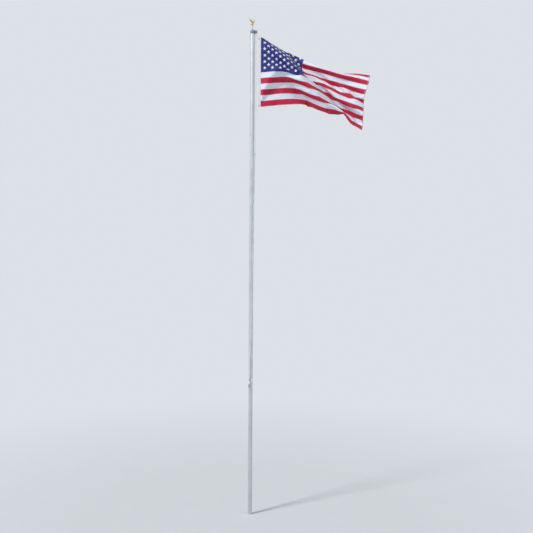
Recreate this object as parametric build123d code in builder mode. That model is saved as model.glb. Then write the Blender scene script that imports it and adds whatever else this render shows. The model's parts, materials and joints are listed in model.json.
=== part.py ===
"""A sectional aluminium flagpole with a gilt eagle finial, a side pulley truck, a halyard, a cleat and a flag.

The frame is in millimetres, +Z up, with the origin on the pole's axis at ground level.
The flag flies towards +X, and the pole is looked at from -Y.
"""

from build123d import *
from math import acos, atan2, cos, degrees, radians, sin
import os

# Pole: five swaged tubes, modelled from ground level up
POLE_HEIGHT = 6096.0
FIRST_JOINT = 676.0
SECTION_COUNT = 5
POLE_RADIUS = 25.4
POLE_WALL = 1.6
FOOT_THICKNESS = 4.0
SPIGOT_GAP = 0.2
SPIGOT_LENGTH = 100.0
NECK_LENGTH = 6.0
SECTION_PITCH = (POLE_HEIGHT - FIRST_JOINT) / (SECTION_COUNT - 1)
POLE_BORE = POLE_RADIUS - POLE_WALL
SPIGOT_RADIUS = POLE_BORE - SPIGOT_GAP

# Spring buttons that lock one section to the next
BUTTON_RADIUS = 4.2
BUTTON_PROUD = 2.2
BUTTON_ABOVE_JOINT = 45.0
BUTTON_ANGLE = -75.0
BUTTON_HOLE_GAP = 0.2

# Halyard rope
ROPE_RADIUS = 3.2
ROPE_LAY_RADIUS = POLE_RADIUS + ROPE_RADIUS + 1.2
KNOT_RADIUS = 6.0
KNOT_OFFSET = 3.8
HITCH_CLEAR = 8.0
ROPE_JOIN = 0.2

# Truck: a cast cap on the pole's top with two cheeks that carry the sheave
CAP_GAP = 0.2
CAP_WALL = 2.2
CAP_TOP_THICKNESS = 9.0
CAP_SKIRT = 34.0
CAP_TOP = POLE_HEIGHT + CAP_TOP_THICKNESS
CAP_BOTTOM = POLE_HEIGHT - CAP_SKIRT
CAP_RADIUS = POLE_RADIUS + CAP_GAP + CAP_WALL
SHEAVE_RADIUS = 15.0
SHEAVE_WIDTH = 10.0
SHEAVE_SIDE_GAP = 0.6
GROOVE_GAP = 0.4
PITCH_RADIUS = 12.4
SHEAVE_X = CAP_RADIUS + 1.0 + ROPE_RADIUS + PITCH_RADIUS
SHEAVE_Z = POLE_HEIGHT - 9.0
CHEEK_THICKNESS = 3.5
CHEEK_RADIUS = 18.0
AXLE_RADIUS = 3.0
AXLE_GAP = 0.05

# Finial: spindle, jam nut, perch and eagle
SPINDLE_RADIUS = 6.35
SPINDLE_RISE = 66.0
SPINDLE_DEPTH = 6.0
THREAD_GAP = 0.1
NUT_ACROSS_FLATS = 19.0
NUT_HEIGHT = 10.0
PERCH_RADIUS = 11.0
PERCH_HEIGHT = 9.0
EAGLE_YAW = -40.0

# Cleat
CLEAT_Z = 1657.0
CLEAT_ANGLE = -102.0
CLEAT_LENGTH = 152.0
CLEAT_HEIGHT = 30.0
CLEAT_WIDTH = 14.0
CLEAT_STEM = 44.0
CLEAT_HORN = 8.0
CLEAT_SCREW_SPACING = 26.0
SCREW_RADIUS = 2.4
SCREW_HEAD_RADIUS = 4.6
SCREW_GAP = 0.15
SADDLE_GAP = 0.1

# Flag: sewn cloth, hoisted by two snap hooks on the halyard
FLAG_HOIST = 880.0
FLAG_BELOW_TOP = 74.0
HEADING_WIDTH = 38.0
HEADING_THICKNESS = 3.0
CLOTH_THICKNESS = 2.0
SEAM_GAP = 1.8
HEADING_GAP = 0.8
STRIPE_COUNT = 13
CANTON_STRIPES = 7
CANTON_LENGTH = 610.0
CANTON_DEPTH = 446.0
CLOTH_LENGTH = 1486.0
GROMMET_HOLE = 5.0
GROMMET_BARREL = 6.0
GROMMET_FLANGE = 10.0
GROMMET_LIP = 1.1
GROMMET_INSET = 18.0
RING_RADIUS = 7.5
RING_WIRE = 2.0
RING_CLEAR = 3.3
HOOK_WIRE = 2.5
HOOK_HALF_WIDTH = 9.0
HOOK_SHANK = 13.0
HOOK_BITE = 1.1
HEADING_REACH = 22.0
HAULING_X = SHEAVE_X - PITCH_RADIUS
SWING_X = HAULING_X + ROPE_RADIUS + RING_CLEAR + RING_WIRE + RING_RADIUS
HEADING_X = SWING_X + HEADING_REACH
GROMMET_X = HEADING_X + 16.0
FLAG_TOP = POLE_HEIGHT - FLAG_BELOW_TOP
FLAG_BOTTOM = FLAG_TOP - FLAG_HOIST
UPPER_RING_Z = FLAG_TOP + 20.0
LOWER_RING_Z = FLAG_BOTTOM - 19.0
CLOTH_X = HEADING_X + HEADING_WIDTH + HEADING_GAP

# The flying cloth's middle surface: rows at even shares of the hoist, from the top edge down, each with stations
# from the hoist to the fly. A station is (out from the hoist edge, behind the pole, above the row's own start).
CLOTH_ROWS = [
    [(0, 0, 0), (261.2, 70, -132), (523.2, 90, -272), (799.2, 80, -390), (1091.2, 40, -437), (1391.2, 20, -472)],
    [(0, 0, 0), (286.2, -40, -37), (503.2, 80, -157), (791.2, 120, -227), (1076.2, 110, -307), (1337.2, 30, -402)],
    [(0, 0, 0), (286.2, -30, 10), (541.2, 0, -50), (791.2, 75, -147), (1041.2, 50, -282), (1306.2, 90, -367)],
    [(0, 0, 0), (271.2, 50, 44), (535.2, 55, 3), (787.2, 35, -102), (1051.2, 115, -206), (1301.2, 25, -329)],
    [(0, 0, 0), (291.2, 50, 48), (563.2, 160, 78), (796.2, 120, -26), (1063.2, 45, -92), (1289.2, 70, -274)],
]
CLOTH_STATIONS = 20


def around_pole(angle, radius, height):
    """A point at an angle round the pole, measured from +X and positive towards +Y."""
    return Vector(radius * cos(radians(angle)), radius * sin(radians(angle)), height)


def radial_plane(angle, height):
    """A plane that stands on the pole's axis: its normal points out at the angle, and its y runs up."""
    outward = around_pole(angle, 1, 0)
    return Plane(origin=(0, 0, height), x_dir=Vector(-outward.Y, outward.X, 0), z_dir=outward)


def save(part, name):
    """Labels a finished piece and writes it as a STEP file of that name."""
    part.label = name
    export_step(part, f"parts/{name}.step")


os.makedirs("parts", exist_ok=True)


# Pole sections
def section_ends(index):
    """The bottom of a section's full-width tube and its joint with the next one."""
    bottom = 0 if index == 0 else FIRST_JOINT + (index - 1) * SECTION_PITCH
    return bottom, FIRST_JOINT + index * SECTION_PITCH


def pole_section(index):
    """A tube whose upper end is necked down to slide into the tube above."""
    bottom, joint = section_ends(index)
    last = index == SECTION_COUNT - 1
    with BuildPart() as section:
        with BuildSketch(Plane.XZ):
            with BuildLine():
                if last:
                    Polyline(
                        (POLE_BORE, bottom), (POLE_RADIUS, bottom), (POLE_RADIUS, joint), (POLE_BORE, joint), close=True
                    )
                else:
                    Polyline(
                        (POLE_BORE, bottom),
                        (POLE_RADIUS, bottom),
                        (POLE_RADIUS, joint - NECK_LENGTH),
                        (SPIGOT_RADIUS, joint),
                        (SPIGOT_RADIUS, joint + SPIGOT_LENGTH),
                        (SPIGOT_RADIUS - POLE_WALL, joint + SPIGOT_LENGTH),
                        (SPIGOT_RADIUS - POLE_WALL, joint),
                        (POLE_BORE, joint - NECK_LENGTH),
                        close=True,
                    )
            make_face()
        revolve(axis=Axis.Z)
        if index == 0:
            with BuildSketch(Plane.XY):
                Circle(POLE_BORE + POLE_WALL / 2)
            extrude(amount=FOOT_THICKNESS)
        for end in (bottom, joint):
            if 0 < end < POLE_HEIGHT:
                with BuildSketch(radial_plane(BUTTON_ANGLE, end + BUTTON_ABOVE_JOINT)):
                    Circle(BUTTON_RADIUS + BUTTON_HOLE_GAP)
                extrude(amount=2 * POLE_RADIUS, mode=Mode.SUBTRACT)
        if bottom < CLEAT_Z < joint:
            with BuildSketch(radial_plane(CLEAT_ANGLE, CLEAT_Z)):
                with GridLocations(0, CLEAT_SCREW_SPACING, 1, 2):
                    Circle(SCREW_RADIUS + SCREW_GAP)
            extrude(amount=2 * POLE_RADIUS, mode=Mode.SUBTRACT)
    return section.part


for index in range(SECTION_COUNT):
    save(pole_section(index), f"pole_section_{index + 1}")


# Spring buttons
def spring_button(index):
    """A domed button that stands out through the holes of both tubes above a joint."""
    height = section_ends(index)[1] + BUTTON_ABOVE_JOINT
    inner = SPIGOT_RADIUS - POLE_WALL - 3
    tip = POLE_RADIUS + BUTTON_PROUD
    with BuildPart() as button:
        with BuildSketch(radial_plane(BUTTON_ANGLE, height).offset(inner)):
            Circle(BUTTON_RADIUS)
        extrude(amount=tip - inner)
        fillet(button.faces().sort_by(SortBy.DISTANCE)[-1].edges(), BUTTON_PROUD * 0.8)
    return button.part


for index in range(SECTION_COUNT - 1):
    save(spring_button(index), f"spring_button_{index + 1}")


# Truck
with BuildPart() as truck_cap:
    with BuildSketch(Plane.XY.offset(CAP_BOTTOM)):
        Circle(CAP_RADIUS)
    extrude(amount=CAP_TOP - CAP_BOTTOM)
    fillet(truck_cap.faces().sort_by(Axis.Z)[-1].edges(), 3)
    with BuildSketch(Plane.XZ):
        with Locations((SHEAVE_X, SHEAVE_Z)):
            Circle(CHEEK_RADIUS)
        with Locations(((SHEAVE_X + POLE_RADIUS) / 2, SHEAVE_Z)):
            Rectangle(SHEAVE_X - POLE_RADIUS, 2 * CHEEK_RADIUS)
    extrude(amount=SHEAVE_WIDTH / 2 + SHEAVE_SIDE_GAP + CHEEK_THICKNESS, both=True)
    with BuildSketch(Plane.XZ):
        with Locations((CAP_RADIUS + 2 * CHEEK_RADIUS, SHEAVE_Z)):
            Rectangle(4 * CHEEK_RADIUS, 4 * CHEEK_RADIUS)
    extrude(amount=SHEAVE_WIDTH / 2 + SHEAVE_SIDE_GAP, both=True, mode=Mode.SUBTRACT)
    with BuildSketch(Plane.XY.offset(CAP_BOTTOM)):
        Circle(POLE_RADIUS + CAP_GAP)
    extrude(amount=POLE_HEIGHT - CAP_BOTTOM, mode=Mode.SUBTRACT)
    with BuildSketch(Plane.XZ):
        with Locations((SHEAVE_X, SHEAVE_Z)):
            Circle(AXLE_RADIUS + AXLE_GAP)
    extrude(amount=2 * CAP_RADIUS, both=True, mode=Mode.SUBTRACT)
    with BuildSketch(Plane.XY.offset(POLE_HEIGHT)):
        Circle(SPINDLE_RADIUS + THREAD_GAP)
    extrude(amount=CAP_TOP_THICKNESS, mode=Mode.SUBTRACT)
save(truck_cap.part, "truck_cap")

# Sheave, with a rope groove and a hub
with BuildPart() as sheave:
    with BuildSketch(Plane.XY):
        with Locations((SHEAVE_RADIUS / 2 + (AXLE_RADIUS + AXLE_GAP) / 2, 0)):
            Rectangle(SHEAVE_RADIUS - AXLE_RADIUS - AXLE_GAP, SHEAVE_WIDTH)
        with Locations((PITCH_RADIUS, 0)):
            Circle(ROPE_RADIUS + GROOVE_GAP, mode=Mode.SUBTRACT)
        with Locations((PITCH_RADIUS + SHEAVE_RADIUS / 2, 0)):
            Rectangle(SHEAVE_RADIUS, 2 * (ROPE_RADIUS + GROOVE_GAP), mode=Mode.SUBTRACT)
    revolve(axis=Axis.Y)
sheave_placed = sheave.part.moved(Location((SHEAVE_X, 0, SHEAVE_Z)))
save(sheave_placed, "sheave")

# Sheave axle, a headed pin
AXLE_REACH = SHEAVE_WIDTH / 2 + SHEAVE_SIDE_GAP + CHEEK_THICKNESS
with BuildPart() as sheave_axle:
    with BuildSketch(Plane.XZ.offset(-AXLE_REACH - 2)):
        with Locations((SHEAVE_X, SHEAVE_Z)):
            Circle(AXLE_RADIUS)
    extrude(amount=2 * AXLE_REACH + 2)
    with BuildSketch(Plane.XZ.offset(AXLE_REACH)):
        with Locations((SHEAVE_X, SHEAVE_Z)):
            Circle(AXLE_RADIUS * 1.8)
    extrude(amount=2.5)
    fillet(sheave_axle.faces().sort_by(Axis.Y)[0].edges(), 1.2)
save(sheave_axle.part, "sheave_axle")

# Finial spindle and jam nut
with BuildPart() as finial_spindle:
    with BuildSketch(Plane.XY.offset(CAP_TOP - SPINDLE_DEPTH)):
        Circle(SPINDLE_RADIUS)
    extrude(amount=SPINDLE_RISE + SPINDLE_DEPTH)
save(finial_spindle.part, "finial_spindle")

with BuildPart() as jam_nut:
    with BuildSketch(Plane.XY.offset(CAP_TOP)):
        RegularPolygon(NUT_ACROSS_FLATS / 2, 6, major_radius=False)
        Circle(SPINDLE_RADIUS + THREAD_GAP, mode=Mode.SUBTRACT)
    extrude(amount=NUT_HEIGHT)
save(jam_nut.part, "jam_nut")

# Eagle on its perch
EAGLE_Z = CAP_TOP + SPINDLE_RISE
with BuildPart() as eagle_perch:
    with BuildSketch(Plane.XY.offset(EAGLE_Z)):
        Circle(PERCH_RADIUS)
    extrude(amount=PERCH_HEIGHT, taper=20)
save(eagle_perch.part, "eagle_perch")


def wing_outline():
    """One spread wing seen flat: a straight shoulder edge and a trailing edge of rounded feathers."""
    with BuildLine() as outline:
        leading = Spline((0, 8), (22, 16), (52, 24))
        tips = [(52, 24), (47, 9), (38, 1), (28, -5), (17, -9), (6, -10)]
        for start, end in zip(tips, tips[1:]):
            SagittaArc(start, end, 2.4)
        Line((6, -10), (0, 8))
    return outline.line


with BuildPart() as eagle:
    # body, tilted forward over the perch
    with BuildSketch(Plane.XZ):
        with BuildLine():
            Spline((0, -16), (9.5, 2), (8.5, 16), (0, 32))
            Line((0, 32), (0, -16))
        make_face()
    revolve(axis=Axis.Z)
eagle_body = eagle.part.rotate(Axis.Y, 32).moved(Location((4, 0, EAGLE_Z + PERCH_HEIGHT + 19)))

with BuildPart() as head:
    Sphere(7.5)
    with Locations(Location((5, 0, 0), (0, 90, 0))):
        Cone(4.5, 0.8, 12, align=(Align.CENTER, Align.CENTER, Align.MIN))
eagle_head = head.part.moved(Location((23, 0, EAGLE_Z + PERCH_HEIGHT + 47)))

with BuildPart() as wing:
    with BuildSketch(Plane.XY):
        add(wing_outline())
        make_face()
    extrude(amount=1.8, both=True)
left_wing = wing.part.rotate(Axis.Z, 90).rotate(Axis.X, 38)
left_wing = left_wing.moved(Location((2, 4, EAGLE_Z + PERCH_HEIGHT + 21)))
right_wing = left_wing.mirror(Plane.XZ)

with BuildPart() as tail:
    with BuildSketch(Plane.XY):
        with BuildLine():
            Line((0, -5), (-26, -12))
            SagittaArc((-26, -12), (-28, -4), -1.6)
            SagittaArc((-28, -4), (-28, 4), -1.6)
            SagittaArc((-28, 4), (-26, 12), -1.6)
            Line((-26, 12), (0, 5))
            Line((0, 5), (0, -5))
        make_face()
    extrude(amount=1.6, both=True)
eagle_tail = tail.part.rotate(Axis.Y, -22).moved(Location((-4, 0, EAGLE_Z + PERCH_HEIGHT + 13)))

with BuildPart() as legs:
    with BuildSketch(Plane.XY.offset(EAGLE_Z + PERCH_HEIGHT)):
        with GridLocations(0, 8, 1, 2):
            Circle(2.6)
    extrude(amount=12)

eagle_whole = eagle_body + eagle_head + left_wing + right_wing + eagle_tail + legs.part
eagle_whole = eagle_whole.rotate(Axis.Z, EAGLE_YAW)
save(eagle_whole, "eagle")


# Cleat: a two-horned bar on a saddle foot
with BuildPart() as cleat:
    cleat_side = Plane(origin=(0, 0, 0), x_dir=(1, 0, 0), z_dir=(0, -1, 0))
    with BuildSketch(cleat_side):
        with BuildLine():
            tip = (POLE_RADIUS + CLEAT_HEIGHT, CLEAT_LENGTH / 2)
            Polyline(
                (POLE_RADIUS - 3, 0),
                (POLE_RADIUS - 3, CLEAT_STEM / 2),
                (POLE_RADIUS + 4, CLEAT_STEM / 2),
                (POLE_RADIUS + 14, CLEAT_STEM / 2 - 6),
            )
            Spline(
                (POLE_RADIUS + 14, CLEAT_STEM / 2 - 6),
                (POLE_RADIUS + 18, CLEAT_STEM / 2 + 8),
                (tip[0] - CLEAT_HORN, tip[1] - 4),
            )
            SagittaArc((tip[0] - CLEAT_HORN, tip[1] - 4), (tip[0], tip[1] - 4), CLEAT_HORN / 2)
            Spline(
                (tip[0], tip[1] - 4),
                (POLE_RADIUS + CLEAT_HEIGHT - 2, CLEAT_STEM / 2 + 8),
                (POLE_RADIUS + CLEAT_HEIGHT - 4, 0),
            )
            Line((POLE_RADIUS + CLEAT_HEIGHT - 4, 0), (POLE_RADIUS - 3, 0))
        make_face()
        mirror(about=Plane.XZ)
    extrude(amount=CLEAT_WIDTH / 2, both=True)
    fillet(cleat.edges().filter_by(GeomType.BSPLINE), 2.5)
    with BuildSketch(Plane.XY.offset(-CLEAT_LENGTH)):
        Circle(POLE_RADIUS + SADDLE_GAP)
    extrude(amount=2 * CLEAT_LENGTH, mode=Mode.SUBTRACT)
    with BuildSketch(Plane.YZ.offset(POLE_BORE - 5)):
        with GridLocations(0, CLEAT_SCREW_SPACING, 1, 2):
            Circle(SCREW_RADIUS + SCREW_GAP)
    extrude(amount=CLEAT_HEIGHT, mode=Mode.SUBTRACT)
    with BuildSketch(Plane.YZ.offset(POLE_RADIUS + CLEAT_HEIGHT - 9)):
        with GridLocations(0, CLEAT_SCREW_SPACING, 1, 2):
            Circle(SCREW_HEAD_RADIUS + SCREW_GAP)
    extrude(amount=CLEAT_HEIGHT, mode=Mode.SUBTRACT)
cleat_placed = cleat.part.rotate(Axis.Z, CLEAT_ANGLE).moved(Location((0, 0, CLEAT_Z)))
save(cleat_placed, "cleat")

with BuildPart() as cleat_screw:
    with BuildSketch(Plane.YZ.offset(POLE_BORE - 6)):
        Circle(SCREW_RADIUS)
    extrude(amount=POLE_RADIUS + CLEAT_HEIGHT - 9 - POLE_BORE + 6)
    with BuildSketch(Plane.YZ.offset(POLE_RADIUS + CLEAT_HEIGHT - 9)):
        Circle(SCREW_HEAD_RADIUS)
    extrude(amount=3.2)
    with BuildSketch(Plane.YZ.offset(POLE_RADIUS + CLEAT_HEIGHT - 9 + 3.2)):
        Rectangle(5.4, 1.1)
        Rectangle(1.1, 5.4)
    extrude(amount=-1.6, mode=Mode.SUBTRACT)
for side, name in ((1, "upper"), (-1, "lower")):
    height = CLEAT_Z + side * CLEAT_SCREW_SPACING / 2
    save(cleat_screw.part.rotate(Axis.Z, CLEAT_ANGLE).moved(Location((0, 0, height))), f"cleat_screw_{name}")

# Halyard: a rope from the cleat up over the sheave, down through both snap hooks and back to the cleat
HALYARD_WRAP = [(3900, -35), (3420, -46), (3020, -60), (2720, -75), (2440, -91), (2180, -107), (1960, -120)]
LEG_SPACING = 17.0
LEG_END = 1752.0


def leg_points(turn_back, end_angle):
    """Where a leg of the rope lies on the pole, from the first touch down to the cleat."""
    points = [around_pole(angle + turn_back, ROPE_LAY_RADIUS, height) for height, angle in HALYARD_WRAP]
    return [*points, around_pole(end_angle, ROPE_LAY_RADIUS, LEG_END)]


upper_hitch = UPPER_RING_Z + KNOT_OFFSET
lower_hitch = LOWER_RING_Z - KNOT_OFFSET
sheave_centre, rope_bends = Vector(SHEAVE_X, 0, SHEAVE_Z), Vector(SWING_X, 0, upper_hitch + HITCH_CLEAR)
run = rope_bends - sheave_centre
leave_angle = degrees(atan2(run.Z, run.X)) + degrees(acos(PITCH_RADIUS / run.length))
rope_leaves = sheave_centre + Vector(cos(radians(leave_angle)), 0, sin(radians(leave_angle))) * PITCH_RADIUS
hauling_top = Vector(HAULING_X, 0, SHEAVE_Z - ROPE_JOIN)
hoist_top = rope_leaves + (rope_bends - rope_leaves).normalized() * ROPE_JOIN


def rope(route):
    """A length of rope swept along a route."""
    wire = route.wires()[0]
    with BuildPart() as length:
        with BuildSketch(Plane(origin=wire @ 0, z_dir=wire % 0)):
            Circle(ROPE_RADIUS)
        sweep(path=wire, transition=Transition.TRANSFORMED)
    return length.part


with BuildLine() as hauling_route:
    Polyline(*reversed(leg_points(0, -131)), hauling_top)
save(rope(hauling_route), "halyard_hauling_leg")

with BuildPart() as sheave_turn:
    with BuildSketch(Plane.XY):
        with Locations((PITCH_RADIUS, 0)):
            Circle(ROPE_RADIUS)
    revolve(axis=Axis.Y, revolution_arc=180 - leave_angle)
turn_placed = sheave_turn.part.rotate(Axis.Y, 180).moved(Location(sheave_centre))
save(turn_placed, "halyard_sheave_turn")

with BuildLine() as hoist_route:
    below = (SWING_X, 0, lower_hitch - HITCH_CLEAR)
    Polyline(hoist_top, rope_bends, below, *leg_points(LEG_SPACING, -115))
save(rope(hoist_route), "halyard_hoist_leg")

with BuildPart() as hitches:
    heights = [upper_hitch, UPPER_RING_Z - KNOT_OFFSET, LOWER_RING_Z + KNOT_OFFSET, lower_hitch]
    with Locations(*[(SWING_X, 0, height) for height in heights]):
        Sphere(KNOT_RADIUS)
        Cylinder(ROPE_RADIUS + 0.1, 2 * KNOT_RADIUS, mode=Mode.SUBTRACT)
save(hitches.part, "halyard_hitches")

# Turns of the halyard on the cleat: the outer shape of the bundle, an oval ring between the pole and the horns
with BuildPart() as halyard_turns:
    with BuildSketch(Plane.YZ.offset(POLE_RADIUS + 4.5)):
        SlotOverall(CLEAT_LENGTH * 0.8, 46, rotation=90)
        SlotOverall(CLEAT_STEM + 6, CLEAT_WIDTH + 4, rotation=90, mode=Mode.SUBTRACT)
    extrude(amount=9.5)
turns_placed = halyard_turns.part.rotate(Axis.Z, CLEAT_ANGLE).moved(Location((0, 0, CLEAT_Z)))
save(turns_placed, "halyard_turns")


# Snap hooks
def hook_place(ring_z, grommet_z):
    """Where a hook's own frame stands, with x towards the grommet, and how far its bend reaches."""
    start = Vector(SWING_X + RING_RADIUS + 1, 0, ring_z)
    toward = Vector(GROMMET_X, 0, grommet_z) - start
    return Plane(origin=start, x_dir=toward, z_dir=toward.cross(Vector(0, 1, 0))).location, toward.length - HOOK_BITE


def snap_hook(ring_z, grommet_z):
    """A swivel ring round the rope, a shank, and an oval loop whose far bend passes through the grommet."""
    place, reach = hook_place(ring_z, grommet_z)
    with BuildPart() as ring:
        with BuildSketch(Plane.XZ):
            with Locations((RING_RADIUS, 0)):
                Circle(RING_WIRE)
        revolve(axis=Axis.Z)
    with BuildPart() as loop:
        with BuildSketch(Plane.YZ):
            Circle(HOOK_WIRE)
        extrude(amount=HOOK_SHANK)
        with BuildLine():
            heel, toe = HOOK_SHANK + HOOK_HALF_WIDTH, reach - HOOK_HALF_WIDTH
            ThreePointArc((heel, -HOOK_HALF_WIDTH), (HOOK_SHANK, 0), (heel, HOOK_HALF_WIDTH))
            Line((heel, HOOK_HALF_WIDTH), (toe, HOOK_HALF_WIDTH))
            ThreePointArc((toe, HOOK_HALF_WIDTH), (reach, 0), (toe, -HOOK_HALF_WIDTH))
        with BuildSketch(Plane(origin=(heel, -HOOK_HALF_WIDTH, 0), z_dir=(-1, 0, 0))):
            Circle(HOOK_WIRE)
        sweep()
    return ring.part.moved(Location((SWING_X, 0, ring_z))) + loop.part.moved(place)


def snap_gate(ring_z, grommet_z):
    """The straight sprung gate that closes the loop."""
    place, reach = hook_place(ring_z, grommet_z)
    heel, toe = HOOK_SHANK + HOOK_HALF_WIDTH, reach - HOOK_HALF_WIDTH
    with BuildPart() as gate:
        with BuildSketch(Plane(origin=(heel + 0.3, -HOOK_HALF_WIDTH, 0), z_dir=(1, 0, 0))):
            Circle(HOOK_WIRE * 0.8)
        extrude(amount=toe - heel - 0.6)
    return gate.part.moved(place)


UPPER_GROMMET_Z = FLAG_TOP - GROMMET_INSET
LOWER_GROMMET_Z = FLAG_BOTTOM + GROMMET_INSET
save(snap_hook(UPPER_RING_Z, UPPER_GROMMET_Z), "upper_snap_hook")
save(snap_gate(UPPER_RING_Z, UPPER_GROMMET_Z), "upper_snap_gate")
save(snap_hook(LOWER_RING_Z, LOWER_GROMMET_Z), "lower_snap_hook")
save(snap_gate(LOWER_RING_Z, LOWER_GROMMET_Z), "lower_snap_gate")

# Flag heading and grommets
with BuildPart() as flag_heading:
    with BuildSketch(Plane.XZ):
        with Locations((HEADING_X + HEADING_WIDTH / 2, FLAG_TOP - FLAG_HOIST / 2)):
            RectangleRounded(HEADING_WIDTH, FLAG_HOIST, 2)
        with Locations((GROMMET_X, UPPER_GROMMET_Z), (GROMMET_X, LOWER_GROMMET_Z)):
            Circle(GROMMET_BARREL + 0.1, mode=Mode.SUBTRACT)
    extrude(amount=HEADING_THICKNESS / 2, both=True)
save(flag_heading.part, "flag_heading")

with BuildPart() as grommet:
    half = HEADING_THICKNESS / 2
    with BuildSketch(Plane.XY):
        with BuildLine():
            Polyline(
                (GROMMET_HOLE, half + GROMMET_LIP),
                (GROMMET_FLANGE, half + GROMMET_LIP * 0.5),
                (GROMMET_FLANGE, half),
                (GROMMET_BARREL, half),
                (GROMMET_BARREL, -half),
                (GROMMET_FLANGE, -half),
                (GROMMET_FLANGE, -half - GROMMET_LIP * 0.5),
                (GROMMET_HOLE, -half - GROMMET_LIP),
                close=True,
            )
        make_face()
    revolve(axis=Axis.Y)
save(grommet.part.moved(Location((GROMMET_X, 0, UPPER_GROMMET_Z))), "upper_grommet")
save(grommet.part.moved(Location((GROMMET_X, 0, LOWER_GROMMET_Z))), "lower_grommet")

# Flag cloth: a canton and thirteen stripes, sewn edge to edge over one flying surface
cloth_rows = []
for index, row in enumerate(CLOTH_ROWS):
    row_start = Vector(CLOTH_X, 0, FLAG_TOP - FLAG_HOIST * index / (len(CLOTH_ROWS) - 1))
    cloth_rows.append(Spline(*[row_start + Vector(*station) for station in row]))


def stripe_seam(count):
    """The share of the hoist that lies above a number of stripes: those beside the canton are the narrower ones."""
    beside = min(count, CANTON_STRIPES) / CANTON_STRIPES * CANTON_DEPTH
    below = max(count - CANTON_STRIPES, 0) / (STRIPE_COUNT - CANTON_STRIPES) * (FLAG_HOIST - CANTON_DEPTH)
    return (beside + below) / FLAG_HOIST


def cloth_columns(start, end, top, bottom, down):
    """Points of the cloth between two shares of the fly, each column running down between two shares of the hoist."""
    count = round((end - start) * CLOTH_STATIONS)
    for station in range(count + 1):
        share = start + (end - start) * station / count
        column = Spline(*[row @ share for row in cloth_rows])
        yield [column @ (top + (bottom - top) * step / (down - 1)) for step in range(down)]


def canton_panel(end, bottom):
    """The canton, a thickened surface through its columns."""
    columns = list(cloth_columns(0, end, 0, bottom - SEAM_GAP / 2 / FLAG_HOIST, CANTON_STRIPES + 1))
    middle = Face.make_surface_from_array_of_points(columns, tol=0.3, min_deg=3, max_deg=3)
    with BuildPart() as panel:
        thicken(middle, amount=CLOTH_THICKNESS / 2, both=True)
    return panel.part


def stripe_panel(start, top, bottom):
    """A stripe, lofted through its cross-sections from its start to the fly."""
    inset = SEAM_GAP / 2 / FLAG_HOIST
    columns = list(cloth_columns(start, 1, top + inset, bottom - inset, 2))
    middles = [(high + low) * 0.5 for high, low in columns]
    with BuildPart() as panel:
        for index, (high, low) in enumerate(columns):
            ahead = middles[min(index + 1, len(middles) - 1)] - middles[max(index - 1, 0)]
            across = low - high
            square = ahead - across * (ahead.dot(across) / across.dot(across))
            with BuildSketch(Plane(origin=middles[index], x_dir=across, z_dir=square)):
                Rectangle(across.length, CLOTH_THICKNESS)
        loft(ruled=True)
    return panel.part


canton_end = CANTON_LENGTH / CLOTH_LENGTH
save(canton_panel(canton_end - SEAM_GAP / CLOTH_LENGTH, stripe_seam(CANTON_STRIPES)), "flag_canton")
for stripe in range(STRIPE_COUNT):
    start = canton_end if stripe < CANTON_STRIPES else 0
    save(stripe_panel(start, stripe_seam(stripe), stripe_seam(stripe + 1)), f"flag_stripe_{stripe + 1:02d}")
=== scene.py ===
"""The looks of the flagpole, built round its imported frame.

It makes the camera, the light, the materials, the flying cloth with its stars and sewing, the braided halyard
and the gilt eagle. Lengths are in metres, heights are above the ground, and the camera looks along +Y.
"""

import json
from math import atan2, cos, hypot, pi, radians, sin

import bpy
import numpy as np
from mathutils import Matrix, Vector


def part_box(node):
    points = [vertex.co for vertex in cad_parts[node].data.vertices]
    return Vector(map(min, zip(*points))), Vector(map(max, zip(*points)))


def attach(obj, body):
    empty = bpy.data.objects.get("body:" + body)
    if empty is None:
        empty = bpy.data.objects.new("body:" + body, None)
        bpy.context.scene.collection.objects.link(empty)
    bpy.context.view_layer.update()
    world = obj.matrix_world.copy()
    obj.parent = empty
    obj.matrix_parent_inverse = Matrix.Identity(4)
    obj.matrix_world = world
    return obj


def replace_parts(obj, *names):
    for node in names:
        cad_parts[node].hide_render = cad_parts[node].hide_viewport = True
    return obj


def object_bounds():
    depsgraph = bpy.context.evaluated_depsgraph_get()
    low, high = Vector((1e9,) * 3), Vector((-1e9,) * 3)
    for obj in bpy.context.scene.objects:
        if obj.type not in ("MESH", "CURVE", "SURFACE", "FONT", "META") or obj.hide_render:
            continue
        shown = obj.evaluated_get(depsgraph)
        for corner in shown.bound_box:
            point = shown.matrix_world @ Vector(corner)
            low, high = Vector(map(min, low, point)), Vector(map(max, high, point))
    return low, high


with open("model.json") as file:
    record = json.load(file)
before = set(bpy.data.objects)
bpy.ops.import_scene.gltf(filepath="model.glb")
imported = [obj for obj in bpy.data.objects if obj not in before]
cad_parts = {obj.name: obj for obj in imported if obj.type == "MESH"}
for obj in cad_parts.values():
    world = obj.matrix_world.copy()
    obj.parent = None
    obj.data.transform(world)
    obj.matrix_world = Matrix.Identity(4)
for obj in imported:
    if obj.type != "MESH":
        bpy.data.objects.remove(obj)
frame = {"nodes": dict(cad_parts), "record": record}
cad_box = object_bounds()

# Camera: level with the pole's middle and rolled a little, as the photograph is
PICTURE_SIZE = 533
METRES_PER_PIXEL = 0.01263
CAMERA_PLACE = np.array([0.193, -8.5, 3.126])
CAMERA_ROLL = 0.3155
SENSOR_WIDTH = 36.0
FOCAL_PIXELS = -CAMERA_PLACE[1] / METRES_PER_PIXEL

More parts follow.
